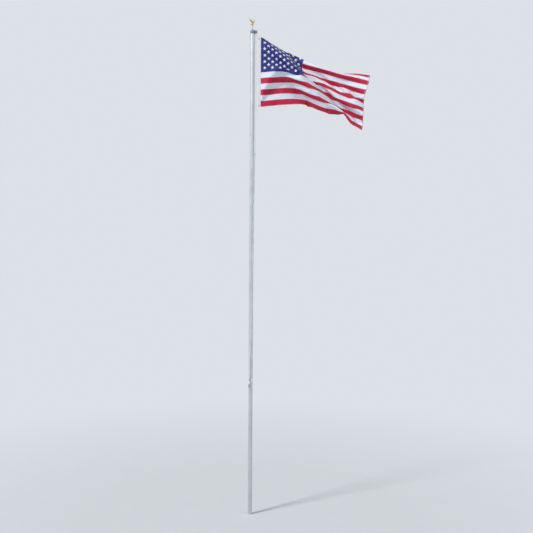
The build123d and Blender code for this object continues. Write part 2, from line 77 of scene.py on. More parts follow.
# Cloth: the size that it was cut to, and how its stripes and canton share the hoist
CLOTH_LENGTH = 1.486
CANTON_LENGTH = 0.610
CANTON_DEPTH = 0.446
STRIPE_COUNT = 13
CANTON_STRIPES = 7
STAR_COLUMNS = 11
STAR_ROWS = 9
STAR_PITCH = (0.0508, 0.0405)
FIRST_STAR_DOWN = 0.0668
STAR_RADIUS = 0.0245
SEAM_WIDTH = 0.009
CLOTH_HALF = 0.00045
SEAM_HALF = 0.0009
SEAM_EASE = 0.0012
FLY_HEM = 0.02
ROW_SPACING = 0.0075
COLUMN_SPACING = 0.0085
TUCK = -0.005 / CLOTH_LENGTH
CANTON_END = CANTON_LENGTH / CLOTH_LENGTH
STITCH_PITCH = 0.0055
THREAD_HALF = 0.00042
THREAD_RISE = 0.00045
SEAM_ROWS = (0.2, 0.8)
FLY_ROWS = (0.003, 0.008, 0.013, 0.018)

# The cloth as the photograph shows it, in pixels: its seams by how many stripes lie above each, the ends of those
# seams at the fly and at the canton, and its stars by column and row
SEAMS_SEEN = {
    0: [
        (260.4, 37.2), (268.5, 42.4), (276.0, 46.6), (283.5, 50.3), (289.3, 53.7), (296.0, 57.6), (306.1, 62.6),
        (317.2, 67.4), (326.1, 71.2), (333.9, 73.4), (338.3, 74.0), (346.1, 73.1), (356.1, 73.3), (364.4, 75.0),
        (372.5, 75.7),
    ],
    1: [
        (299.3, 58.5), (306.1, 60.9), (317.2, 65.0), (326.1, 69.4), (333.9, 72.2), (342.2, 74.3), (350.6, 74.6),
        (361.0, 76.3), (371.7, 77.6),
    ],
    2: [
        (297.8, 62.5), (308.9, 65.6), (318.3, 68.1), (326.1, 70.3), (333.9, 72.5), (341.1, 75.3), (350.6, 76.4),
        (358.9, 79.2), (369.4, 81.4),
    ],
    3: [
        (298.9, 67.2), (307.8, 69.4), (317.2, 71.9), (328.3, 74.7), (339.4, 77.2), (348.3, 79.4), (357.8, 82.8),
        (366.7, 85.0),
    ],
    4: [
        (301.7, 71.4), (311.7, 74.4), (321.1, 76.9), (330.6, 81.7), (339.4, 83.9), (348.3, 86.4), (364.4, 90.6),
    ],
    5: [
        (302.5, 73.3), (310.6, 76.1), (318.9, 78.9), (326.7, 82.2), (335.0, 86.4), (343.9, 88.1), (351.7, 90.6),
        (356.1, 92.8), (363.9, 94.7),
    ],
    6: [
        (303.3, 75.0), (309.4, 79.4), (318.3, 81.9), (326.7, 85.3), (333.9, 88.3), (341.1, 91.9), (349.4, 93.9),
        (355.0, 97.2), (362.8, 100.3),
    ],
    7: [
        (261.2, 72.4), (272.7, 71.2), (281.0, 70.8), (288.5, 72.4), (294.3, 74.9), (303.5, 75.8), (306.1, 78.3),
        (313.9, 82.5), (320.0, 85.6), (327.2, 88.1), (336.7, 93.1), (342.2, 96.1), (350.6, 98.1), (357.8, 100.0),
        (362.6, 103.9),
    ],
    8: [
        (261.2, 78.5), (268.5, 77.8), (276.8, 76.8), (283.1, 76.4), (289.3, 77.0), (297.7, 80.3), (307.8, 82.5),
        (318.9, 88.9), (331.1, 94.4), (336.1, 98.9), (345.0, 101.7), (356.1, 104.7), (363.9, 108.5),
    ],
    9: [
        (261.3, 83.9), (276.8, 82.3), (285.0, 81.8), (298.3, 83.3), (307.8, 87.8), (317.2, 90.0), (328.3, 97.2),
        (337.8, 102.5), (347.8, 106.1), (358.9, 109.7), (364.1, 112.9),
    ],
    10: [
        (261.4, 89.9), (272.7, 88.3), (285.2, 87.2), (293.5, 87.9), (301.8, 90.0), (313.3, 95.3), (318.9, 96.1),
        (325.6, 100.6), (333.9, 104.7), (341.1, 108.6), (350.6, 111.1), (364.1, 117.3),
    ],
    11: [
        (261.4, 95.4), (274.7, 93.9), (283.1, 92.8), (289.3, 92.6), (301.8, 94.0), (311.7, 98.3), (322.8, 101.7),
        (329.4, 103.1), (337.2, 107.2), (343.3, 111.7), (353.3, 116.1), (364.0, 122.8),
    ],
    12: [
        (261.4, 101.2), (276.8, 99.3), (291.4, 98.3), (303.9, 99.1), (315.6, 103.9), (324.4, 107.5), (333.9, 108.3),
        (341.7, 110.8), (346.7, 115.6), (350.6, 120.0), (358.9, 124.4), (363.0, 127.9),
    ],
    13: [
        (261.4, 106.9), (268.5, 106.0), (285.2, 104.1), (299.8, 103.3), (306.0, 104.1), (317.2, 109.4),
        (328.3, 112.8), (339.4, 114.2), (343.3, 114.4), (350.6, 120.6), (356.1, 125.8), (363.9, 132.0),
    ],
}
FLY_ENDS_SEEN = [
    (372.5, 75.7), (371.7, 77.5), (369.7, 81.0), (367.2, 85.3), (365.3, 90.6), (364.3, 94.9), (363.7, 99.7),
    (363.5, 103.9), (363.8, 108.3), (364.0, 112.9), (364.1, 117.2), (364.0, 122.9), (363.7, 127.6), (363.9, 132.0),
]
CANTON_END_SEEN = {
    2: (297.9, 62.8), 3: (298.9, 67.4), 4: (301.6, 70.8), 5: (302.9, 73.7), 6: (303.5, 74.9), 7: (303.9, 75.8),
}
STARS_SEEN = {
    (1, 1): (263.8, 42.5), (1, 3): (263.7, 49.0), (1, 5): (264.5, 55.0), (1, 7): (264.5, 61.4), (1, 9): (264.8, 68.2),
    (2, 2): (268.0, 46.3), (2, 4): (268.1, 52.3), (2, 6): (268.5, 57.8), (2, 8): (268.4, 64.1),
    (3, 3): (272.3, 49.8), (3, 5): (272.7, 55.5), (3, 7): (272.9, 61.0), (3, 9): (272.7, 67.0),
    (4, 2): (275.6, 48.2), (4, 4): (276.6, 53.3), (4, 6): (276.8, 59.1), (4, 8): (277.0, 64.4),
    (5, 5): (281.0, 57.0), (5, 7): (281.0, 62.8), (5, 9): (281.3, 67.8),
    (6, 4): (284.5, 55.3), (6, 6): (284.8, 60.5), (6, 8): (284.8, 66.5),
    (7, 5): (288.3, 58.9), (7, 7): (289.1, 64.3), (7, 9): (288.9, 70.3),
    (8, 6): (292.2, 62.6), (8, 8): (293.0, 68.0),
    (9, 5): (294.5, 61.4), (9, 7): (296.2, 66.4), (9, 9): (297.0, 71.8), (10, 8): (299.5, 70.5),
}


def box_corners(node):
    """The low and the high corner of a node's box."""
    return [np.array(corner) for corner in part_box(node)]


def stripe_seam(count):
    """The share of the hoist that lies above a number of stripes: those beside the canton are the narrower ones."""
    beside = min(count, CANTON_STRIPES) / CANTON_STRIPES * CANTON_DEPTH
    below = max(count - CANTON_STRIPES, 0) / (STRIPE_COUNT - CANTON_STRIPES) * (HOIST - CANTON_DEPTH)
    return (beside + below) / HOIST


def star_share(column, row):
    """A star's place as shares of the cloth's length and hoist."""
    return column * STAR_PITCH[0] / CLOTH_LENGTH, (FIRST_STAR_DOWN + (row - 1) * STAR_PITCH[1]) / HOIST


heading_low, heading_high = box_corners("flag_heading")
HOIST = heading_high[2] - heading_low[2]
CLOTH_START = np.array([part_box("flag_canton")[0][0], 0, heading_high[2]])

# How far back the cloth may reach, how far its top edge leans back by the canton and at the fly, over how many
# stripes, and where along its length each lean starts and in what share it is eased in
DEEPEST = cad_box[1][1] + 0.008
DEPTH_PULL = 0.3
LEAN_BACK = 0.024
LEAN_FROM = 0.22
LEAN_EASE = 0.12
FLY_LEAN_BACK = 0.055
FLY_LEAN_FROM = 0.6
FLY_LEAN_EASE = 0.1
LEANING_STRIPES = 1.5
LEAN_PULL = 0.5

# The share of its way that each mark is pulled in a round, and how softly the cloth's diagonals are held
SEAM_PULL = 0.3
TOP_SEAM_PULL = 0.15
STAR_PULL = 0.3
FLY_PULL = 0.3
CANTON_PULL = 0.18
DIAGONAL_HOLD = 0.1

# The coarsest grid, then the rounds, sweeps and bending of each finer one and of the last smoothing
COARSE_GRID = (26, 16)
SOLVING = ((1500, 4, 0.02), (900, 5, 0.02), (300, 6, 0.02))
SMOOTHING = (60, 8, 0.25)


# Solving the cloth: a sheet that doesn't stretch, pulled until its seams and stars lie where they are seen
def seen_place(pixels):
    """Pixels of the photograph as (out, up) in the plane of the pole's axis."""
    pixels = np.array(pixels, float)
    right, up = pixels[..., 0] - PICTURE_SIZE / 2, PICTURE_SIZE / 2 - pixels[..., 1]
    roll = radians(CAMERA_ROLL)
    out = CAMERA_PLACE[0] + METRES_PER_PIXEL * (right - up * roll)
    return np.stack([out, CAMERA_PLACE[2] + METRES_PER_PIXEL * (up + right * roll)], -1)


def projected(points):
    """Where the camera sees points in the plane of the pole's axis, and how much larger they look there."""
    nearness = CAMERA_PLACE[1] / (CAMERA_PLACE[1] - points[..., 1])
    centre = CAMERA_PLACE[[0, 2]]
    return centre + (points[..., [0, 2]] - centre) * nearness[..., None], nearness[..., None]


def sideways(offset):
    """An (out, up) offset as one in space that keeps its depth."""
    return np.stack([offset[..., 0], np.zeros(offset.shape[:-1]), offset[..., 1]], -1)


def first_guess(along, down):
    """Waves that run down towards the fly, a lobe near the hoist and a top edge that leans back past the canton."""
    wave_depth, lobe_depth, fly_depth, lean_depth = 0.07, 0.09, 0.06, 0.09
    slanted = (along * CLOTH_LENGTH / STAR_PITCH[0]) - (down * HOIST - FIRST_STAR_DOWN) / STAR_PITCH[1] - 0.5
    grown = 1 - np.exp(-((along * CLOTH_LENGTH / 0.16) ** 2))
    depth = -wave_depth * np.cos(np.clip(slanted * pi / 4, -2 * pi, pi)) * grown
    depth -= lobe_depth * np.exp(-(((along - 0.38) / 0.22) ** 2)) * np.clip(down * 2.2, 0.15, 1)
    depth += fly_depth * np.exp(-(((along - 0.75) / 0.2) ** 2))
    folded = np.clip((along - 0.38) / 0.05, 0, 1) * np.clip((0.68 - along) / 0.08, 0, 1)
    depth += lean_depth * np.clip(1 - down / stripe_seam(1), 0, 1) * folded
    fall = along * CLOTH_LENGTH * (0.33 - 0.17 * down) + HOIST * down
    return CLOTH_START + np.stack([along * CLOTH_LENGTH * 0.93, depth, -fall], -1)


def corner_shares(along, down, size):
    """The four grid points round each place, with their shares."""
    u, v = np.array(along) * (size[0] - 1), np.array(down) * (size[1] - 1)
    i, j = np.minimum(u.astype(int), size[0] - 2), np.minimum(v.astype(int), size[1] - 2)
    f, g = u - i, v - j
    return [(i, j, (1 - f) * (1 - g)), (i + 1, j, f * (1 - g)), (i, j + 1, (1 - f) * g), (i + 1, j + 1, f * g)]


def nearest_on_line(places, line):
    """The nearest point of a line to each place, and which places lie beside it rather than past its ends."""
    start, run = line[:-1], np.diff(line, axis=0)
    share = ((places[:, None] - start) * run).sum(-1) / (run * run).sum(-1)
    nearest = start + np.clip(share, 0, 1)[..., None] * run
    best = ((places[:, None] - nearest) ** 2).sum(-1).argmin(1)
    index = np.arange(len(places))
    past = ((best == 0) & (share[index, best] < 0)) | ((best == len(run) - 1) & (share[index, best] > 1))
    return nearest[index, best], ~past


def pull_to_seams(cloth):
    """Moves each seam towards its line in the picture, free to slide along it and to change its depth."""
    moved, weight = np.zeros_like(cloth), np.zeros(cloth.shape[:2] + (1,))
    lengths = np.linspace(0, CLOTH_LENGTH, len(cloth))
    for count, pixels in SEAMS_SEEN.items():
        place = stripe_seam(count) * (cloth.shape[1] - 1)
        above = min(int(place), cloth.shape[1] - 2)
        share = place - above
        seam = cloth[:, above] * (1 - share) + cloth[:, above + 1] * share
        seen, nearness = projected(seam)
        target, free = nearest_on_line(seen, seen_place(pixels))
        if 0 < count < CANTON_STRIPES:
            free &= lengths > CANTON_LENGTH * 0.97
        pull = SEAM_PULL if count else TOP_SEAM_PULL
        step = sideways((target - seen) / nearness) * free[:, None] * pull
        for row, part in ((above, 1 - share), (above + 1, share)):
            moved[:, row] += step * part
            weight[:, row] += free[:, None] * part
    cloth += moved / np.maximum(weight, 1)


def pull_to_marks(cloth, corners, targets, strengths):
    """Moves stars, the canton's edge and the fly towards where they are seen, free to change their depth."""
    seen, nearness = projected(sum(cloth[i, j] * share[:, None] for i, j, share in corners))
    step = sideways((targets - seen) / nearness) * strengths[:, None]
    total = sum(share * share for _, _, share in corners)
    for i, j, share in corners:
        np.add.at(cloth, (i, j), step * (share / total)[:, None])


def keep_length(first, second, length, share=0.5):
    """Moves two sets of grid points together or apart until each pair is its length apart again."""
    run = second - first
    distance = np.linalg.norm(run, axis=-1, keepdims=True)
    step = run * (share * (distance - length) / distance)
    first += step
    second -= step


def keep_lengths(cloth, columns, rows):
    """Holds the threads of both directions and, more softly, the diagonals."""
    for odd in (0, 1):
        pairs = (len(cloth) - odd) // 2
        keep_length(cloth[odd : odd + 2 * pairs : 2], cloth[odd + 1 : odd + 1 + 2 * pairs : 2], columns)
        pairs = (cloth.shape[1] - odd) // 2
        keep_length(cloth[:, odd : odd + 2 * pairs : 2], cloth[:, odd + 1 : odd + 1 + 2 * pairs : 2], rows)
    diagonal = hypot(columns, rows)
    moved = cloth.copy()
    keep_length(moved[:-1, :-1], moved[1:, 1:], diagonal, DIAGONAL_HOLD)
    keep_length(moved[1:, :-1], moved[:-1, 1:], diagonal, DIAGONAL_HOLD)
    cloth[:] = moved


def lean_top_back(cloth):
    """Keeps the top stripes behind their seam past the canton's middle, and eases the cloth back to its depth."""
    along = np.linspace(0, 1, len(cloth))
    leaning = np.clip((along - LEAN_FROM) / LEAN_EASE, 0, 1)
    lean = LEAN_BACK + (FLY_LEAN_BACK - LEAN_BACK) * np.clip((along - FLY_LEAN_FROM) / FLY_LEAN_EASE, 0, 1)
    seam = round(stripe_seam(LEANING_STRIPES) * (cloth.shape[1] - 1))
    for row in range(seam):
        behind = cloth[:, seam, 1] + lean * (1 - row / seam) ** 1.5
        cloth[:, row, 1] += LEAN_PULL * (np.maximum(behind - cloth[:, row, 1], 0) * leaning)
    cloth[..., 1] -= DEPTH_PULL * np.maximum(cloth[..., 1] - DEEPEST, 0)


def solve(cloth, rounds, sweeps, bend, pulled=True):
    """Turns a guess into a cloth that fits what is seen and keeps its threads' lengths."""
    size = cloth.shape[:2]
    hoist_edge = CLOTH_START - np.linspace(0, 1, size[1])[:, None] * np.array([0, 0, HOIST])
    marks = [(*star_share(*star), pixel, STAR_PULL) for star, pixel in STARS_SEEN.items()]
    marks += [(1, stripe_seam(count), pixel, FLY_PULL) for count, pixel in enumerate(FLY_ENDS_SEEN)]
    marks += [(CANTON_END, stripe_seam(count), pixel, CANTON_PULL) for count, pixel in CANTON_END_SEEN.items()]
    along, down, pixels, strengths = zip(*marks)
    corners = corner_shares(along, down, size)
    targets, strengths = seen_place(pixels), np.array(strengths)
    for _ in range(rounds):
        cloth[1:-1] += bend * ((cloth[:-2] + cloth[2:]) / 2 - cloth[1:-1])
        cloth[:, 1:-1] += bend * ((cloth[:, :-2] + cloth[:, 2:]) / 2 - cloth[:, 1:-1])
        if pulled:
            pull_to_seams(cloth)
            pull_to_marks(cloth, corners, targets, strengths)
        lean_top_back(cloth)
        for _ in range(sweeps):
            keep_lengths(cloth, CLOTH_LENGTH / (size[0] - 1), HOIST / (size[1] - 1))
            cloth[0] = hoist_edge


def extended(values):
    """A grid with one more row before its first and after its last."""
    return np.concatenate([[2 * values[0] - values[1]], values, [2 * values[-1] - values[-2]]])


def finer(values):
    """A grid with a new row, by cubic interpolation, between each two of its rows."""
    wide = extended(values)
    between = (-wide[:-3] + 9 * wide[1:-2] + 9 * wide[2:-1] - wide[3:]) / 16
    both = np.zeros((2 * len(values) - 1,) + values.shape[1:])
    both[::2] = values
    both[1::2] = between
    return both


def both_ways(changed, grid):
    """A grid whose rows a function has changed, in both of its directions."""
    return np.swapaxes(changed(np.swapaxes(changed(grid), 0, 1)), 0, 1)


cloth_grid = first_guess(*np.meshgrid(*(np.linspace(0, 1, size) for size in COARSE_GRID), indexing="ij"))
solve(cloth_grid, *SOLVING[0])
for effort in SOLVING[1:]:
    cloth_grid = both_ways(finer, cloth_grid).copy()
    solve(cloth_grid, *effort)
solve(cloth_grid, *SMOOTHING, pulled=False)
wide_grid = both_ways(extended, cloth_grid)


def unit(vectors):
    """Vectors made one long."""
    return vectors / np.linalg.norm(vectors, axis=-1, keepdims=True)


def cubic_weights(share):
    """The four weights of a cubic curve through grid values."""
    first = ((2 - share) * share - 1) * share
    second = (3 * share - 5) * share * share + 2
    third = ((4 - 3 * share) * share + 1) * share
    return np.stack([first, second, third, (share - 1) * share * share], -1) / 2


def cloth_points(along, down):
    """Points of the cloth's middle surface at shares of its length and hoist. Its tuck in the heading is flat."""
    along, down = np.broadcast_arrays(np.asarray(along, float), np.asarray(down, float))
    u, v = np.maximum(along, 0) * (cloth_grid.shape[0] - 1), down * (cloth_grid.shape[1] - 1)
    i = np.clip(np.floor(u).astype(int), 0, cloth_grid.shape[0] - 2)
    j = np.clip(np.floor(v).astype(int), 0, cloth_grid.shape[1] - 2)
    near = np.arange(4)
    block = wide_grid[i[..., None, None] + near[:, None], j[..., None, None] + near]
    points = np.einsum("...a,...b,...abc->...c", cubic_weights(u - i), cubic_weights(v - j), block)
    points[..., 0] += np.minimum(along, 0) * CLOTH_LENGTH
    return points


def cloth_normals(along, down):
    """Unit normals of the cloth, towards the side that the camera sees."""
    step = 0.003
    across = cloth_points(along + step, down) - cloth_points(along - step, down)
    fall = cloth_points(along, down + step) - cloth_points(along, down - step)
    return unit(np.cross(fall, across))


def cloth_offset(along, down, height):
    """Points that stand off the cloth by a height, towards the camera's side if it is positive."""
    return cloth_points(along, down) + cloth_normals(along, down) * height


# Meshes
def linked(name, data):
    """An object of its data, put into the scene."""
    made = bpy.data.objects.new(name, data)
    bpy.context.scene.collection.objects.link(made)
    return made


class Shape:
    """Vertices and faces that are gathered into one mesh."""

    def __init__(self):
        self.points, self.faces, self.flat, self.count = [], [], [], 0

    def add(self, points, faces, flat=None):
        """Adds points, faces over them and, where given, a flat place for each point."""
        points = np.asarray(points, float).reshape(-1, 3)
        self.points.append(points)
        self.faces.extend([tuple(int(corner) + self.count for corner in face) for face in faces])
        self.flat.append(np.zeros((len(points), 2)) if flat is None else np.asarray(flat, float).reshape(-1, 2))
        self.count += len(points)

    def grid(self, points, closed=False, flat=None, flipped=False):
        """Adds a grid of points, joined round its second direction if it is closed."""
        rows, columns = points.shape[:2]
        i, j = np.meshgrid(np.arange(rows - 1), np.arange(columns if closed else columns - 1), indexing="ij")
        after = (j + 1) % columns
        faces = np.stack([i * columns + j, (i + 1) * columns + j, (i + 1) * columns + after, i * columns + after], -1)
        faces = faces.reshape(-1, 4)
        self.add(points, faces[:, ::-1] if flipped else faces, flat)

    def tube(self, rings):
        """Adds a closed tube through rings of points, with flat ends."""
        start = self.count
        self.grid(rings, closed=True)
        sides = rings.shape[1]
        last = start + (len(rings) - 1) * sides
        self.faces.append(tuple(range(start, start + sides)))
        self.faces.append(tuple(range(last + sides - 1, last - 1, -1)))

    def piece(self, name, slot, body, finish=None, smooth=True):
        """Makes the mesh, gives it its slot's finish or another, and lets it ride on its body."""
        mesh = bpy.data.meshes.new(name)
        mesh.from_pydata(np.concatenate(self.points).tolist(), [], self.faces)
        layer = mesh.uv_layers.new(name="flat")
        corners = np.zeros(len(mesh.loops), int)
        mesh.loops.foreach_get("vertex_index", corners)
        layer.data.foreach_set("uv", np.concatenate(self.flat)[corners].ravel())
        mesh.polygons.foreach_set("use_smooth", [smooth] * len(mesh.polygons))
        mesh.materials.append(finishes[finish or slot])
        made = linked(name, mesh)
        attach(made, body)
        return made


def helix(radius, turns, low, high, count):
    """Points of a line that winds up round the height axis."""
    angles = np.linspace(0, 2 * pi * turns, count)
    return np.stack([radius * np.cos(angles), radius * np.sin(angles), np.linspace(low, high, count)], -1)


def carried_frames(line):
    """For a line of points, its tangents and two directions square to them that don't twist."""
    tangents = unit(np.gradient(line, axis=0))
    side = np.cross(tangents[0], [0.0, 1.0, 0.0])
    if np.linalg.norm(side) < 0.1:
        side = np.cross(tangents[0], [1.0, 0.0, 0.0])
    sides = [side / np.linalg.norm(side)]
    for tangent in tangents[1:]:
        side = sides[-1] - tangent * (sides[-1] @ tangent)
        sides.append(side / np.linalg.norm(side))
    sides = np.array(sides)
    return tangents, sides, np.cross(tangents, sides)


def rings_along(line, radii, sides, relief=None):
    """Rings of points round a line, with a radius for each ring and an optional relief by angle and length."""
    tangents, first, second = carried_frames(line)
    angles = np.linspace(0, 2 * pi, sides, endpoint=False)
    radius = np.broadcast_to(np.asarray(radii, float), (len(line),))[:, None] * np.ones(sides)
    if relief is not None:
        steps = np.linalg.norm(np.diff(line, axis=0), axis=1)
        lengths = np.concatenate([[0], np.cumsum(steps)])
        radius = radius + relief(angles[None, :], lengths[:, None])
    spokes = first[:, None] * np.cos(angles)[None, :, None] + second[:, None] * np.sin(angles)[None, :, None]
    return line[:, None] + spokes * radius[..., None]


def smooth_line(points, spacing):
    """A smooth line through points, with its own points about a spacing apart."""
    points = np.array(points, float)
    wide = extended(points)
    pieces = []
    for index in range(len(points) - 1):
        count = max(2, int(np.linalg.norm(points[index + 1] - points[index]) / spacing))
        share = np.arange(count) / count
        pieces.append(cubic_weights(share) @ wide[index : index + 4])
    return np.concatenate([*pieces, points[-1:]])


# Materials
class Nodes:
    """A node tree with short calls for the nodes that the finishes here are made of."""

    def __init__(self, owner):
        owner.use_nodes = True
        self.nodes, self.links = owner.node_tree.nodes, owner.node_tree.links

    def node(self, kind, inputs, **settings):
        """A node with its settings and inputs, each a value or another node's output."""
        made = self.nodes.new(kind)
        for key, value in settings.items():
            setattr(made, key, value)
        for key, value in inputs.items():
            if isinstance(value, bpy.types.NodeSocket):
                self.links.new(value, made.inputs[key])
            else:
                made.inputs[key].default_value = value
        return made

    def place(self, stretch=(1, 1, 1), flat=False):
        """Places on the piece, or on the cloth laid flat, stretched by direction."""
        if flat:
            source = self.node("ShaderNodeUVMap", {}, uv_map="flat").outputs["UV"]
        else:
            source = self.node("ShaderNodeTexCoord", {}).outputs["Object"]
        return self.node("ShaderNodeMapping", {"Vector": source, "Scale": stretch}).outputs["Vector"]

    def noise(self, place, scale, detail=3.0, roughness=0.5):
        """Soft random patches."""
        inputs = {"Vector": place, "Scale": scale, "Detail": detail, "Roughness": roughness}
        return self.node("ShaderNodeTexNoise", inputs).outputs["Fac"]

    def bands(self, place, scale, direction):
        """Even bands across a direction."""
        made = self.node("ShaderNodeTexWave", {"Vector": place, "Scale": scale}, bands_direction=direction)
        return made.outputs["Fac"]

    def math(self, operation, first, second=0.0):
        """Two values joined by an operation."""
        return self.node("ShaderNodeMath", {0: first, 1: second}, operation=operation).outputs[0]

    def between(self, value, low, high, start, end):
        """A value from low to high as one from start to end, clamped."""
        inputs = {"Value": value, "From Min": low, "From Max": high, "To Min": start, "To Max": end}
        return self.node("ShaderNodeMapRange", inputs).outputs["Result"]

    def blend(self, share, first, second):
        """A colour between two, each a tuple or another node's output."""
        colours = [(*colour, 1) if isinstance(colour, tuple) else colour for colour in (first, second)]
        inputs = {0: share, 6: colours[0], 7: colours[1]}
        return self.node("ShaderNodeMix", inputs, data_type="RGBA").outputs[2]

    def direct_sight(self):
        """One for rays from the camera, or seen in gloss or through glass, and nought for light."""
        rays = self.node("ShaderNodeLightPath", {}).outputs
        seen = rays["Is Camera Ray"]
        for name in ("Is Glossy Ray", "Is Transmission Ray"):
            seen = self.math("MAXIMUM", seen, rays[name])
        return seen


class Material(Nodes):
    """A surface whose colour, roughness and relief are set by such nodes."""

    def __init__(self, name, roughness, metallic=0.0, sheen=0.0):
        self.material = bpy.data.materials.new(name)
        super().__init__(self.material)
        self.shader = self.nodes["Principled BSDF"]
        self.shader.inputs["Roughness"].default_value = roughness
        self.shader.inputs["Metallic"].default_value = metallic
        self.shader.inputs["Sheen Weight"].default_value = sheen

    def paint(self, patches, low, high, light, dark, wear_and_shade=None, worn_and_shade=None):
        """Sets a colour from dark to light by patches, with a third one laid over it by a mask: rubbed places and gaps
        between threads, and on the gilt, painted shade in its recesses.
        """
        base = self.blend(self.between(patches, low, high, 0, 1), dark, light)
        self.colour(base if wear_and_shade is None else self.blend(wear_and_shade, base, worn_and_shade))

    def colour(self, output):
        """Sets the surface's colour."""
        self.links.new(output, self.shader.inputs["Base Color"])

    def roughness(self, output):
        """Sets the surface's roughness."""
        self.links.new(output, self.shader.inputs["Roughness"])

    def relief(self, height, distance, strength=1.0):
        """Raises the surface by a height, times a distance in metres."""
        inputs = {"Height": height, "Distance": distance, "Strength": strength}
        self.links.new(self.node("ShaderNodeBump", inputs).outputs["Normal"], self.shader.inputs["Normal"])


def woven_cloth(name, light, dark, thread, sheen):
    """Sewn nylon: crossed threads, a faint unevenness in the dye and soft creases."""
    made = Material(name, 0.66, sheen=sheen)
    made.shader.inputs["Specular IOR Level"].default_value = 0.25
    flat = made.place(flat=True)
    patches = made.noise(flat, 9.0, 5.0, 0.6)
    threads = made.math("MAXIMUM", made.bands(flat, thread, "X"), made.bands(flat, thread, "Y"))
    streaks = made.noise(made.place((4, 60, 1), flat=True), 10.0, 2.0)
    gaps = made.between(made.math("MULTIPLY", threads, streaks), 0.1, 0.6, 0.12, 0)
    made.paint(patches, 0.35, 0.65, light, dark, gaps, dark)
    creases = made.noise(flat, 14.0, 3.0)
    made.relief(made.math("ADD", made.math("MULTIPLY", threads, 0.12), creases), 0.0012)
    return made.material


def canvas(name, light, dark, thread, gap):
    """Heavy cotton duck: a plain weave with slubs and faint folds."""
    made = Material(name, 0.85, sheen=0.1)
    flat = made.place(flat=True)
    threads = made.math("MULTIPLY", made.bands(flat, thread, "X"), made.bands(flat, thread, "Y"))
    slubs = made.noise(made.place((30, 6, 1), flat=True), 12.0, 3.0)
    made.paint(slubs, 0.35, 0.7, light, dark, made.between(threads, 0, 0.5, 0.18, 0), gap)
    made.relief(made.math("ADD", threads, made.math("MULTIPLY", slubs, 0.8)), 0.0006)
    return made.material


def braided_rope(name, light, dark, gap):
    """White braided rope that has greyed between its strands."""
    made = Material(name, 0.8, sheen=0.15)
    soil = made.noise(made.place((1, 1, 0.3)), 45.0, 4.0)
    fibre = made.noise(made.place((1, 1, 0.25)), 1600.0, 2.0)
    made.paint(soil, 0.3, 0.75, light, dark, made.between(fibre, 0.3, 0.7, 0.25, 0), gap)
    made.relief(fibre, 0.0002, 0.8)
    return made.material


def brushed_metal(name, light, dark, roughness, stretch, scale=1.0, metallic=1.0):
    """Metal with fine brushing across a direction, and faint dull patches."""
    made = Material(name, roughness, metallic=metallic)
    grain = made.noise(made.place(stretch), scale, 4.0, 0.7)
    patches = made.noise(made.place(), 6.0, 4.0)
    smudges = made.noise(made.place((1, 1, 0.35)), 38.0, 3.0)
    made.paint(patches, 0.3, 0.7, light, dark, made.between(grain, 0.35, 0.75, 0, 0.35), dark)
    made.roughness(made.between(made.math("ADD", grain, smudges), 0.7, 1.4, roughness - 0.08, roughness + 0.12))
    made.relief(grain, 0.00012, 0.6)
    return made.material


def cast_metal(name, light, dark, roughness):
    """Sand-cast metal: a pebbled skin that is darker where it is dull."""
    made = Material(name, roughness, metallic=1.0)
    patches = made.noise(made.place(), 60.0, 4.0)
    made.paint(patches, 0.32, 0.68, light, dark)
    made.roughness(made.between(patches, 0.3, 0.7, roughness + 0.1, roughness - 0.06))
    made.relief(made.noise(made.place(), 900.0, 3.0), 0.00025, 0.7)
    return made.material


def gilding(name, light, dark, recess_shade):
    """Gold paint over a casting, a little rubbed, with painted shade: dark brown laid into its recesses, so that its
    ridges look brighter.
    """
    made = Material(name, 0.34, metallic=1.0)
    ridges = made.node("ShaderNodeNewGeometry", {}).outputs["Pointiness"]
    patches = made.noise(made.place(), 130.0, 4.0)
    # Painted shade: the gold is blended towards dark brown where the surface is concave, by its pointiness
    made.paint(patches, 0.35, 0.7, light, dark, made.between(ridges, 0.42, 0.5, 0.75, 0), recess_shade)
    made.roughness(made.between(patches, 0.3, 0.7, 0.3, 0.48))
    made.relief(made.noise(made.place(), 1400.0, 2.0), 0.00012, 0.5)
    return made.material


def moulded_plastic(name, light, dark, roughness):
    """Moulded nylon with a faint mottle, scuffed where it rubs."""
    made = Material(name, roughness)
    scuffs = made.noise(made.place((1, 3, 1)), 500.0, 4.0, 0.7)
    made.paint(made.noise(made.place(), 220.0, 3.0), 0.3, 0.7, light, dark)
    made.roughness(made.between(scuffs, 0.4, 0.65, roughness, roughness + 0.25))
    made.relief(scuffs, 0.00008, 0.5)
    return made.material


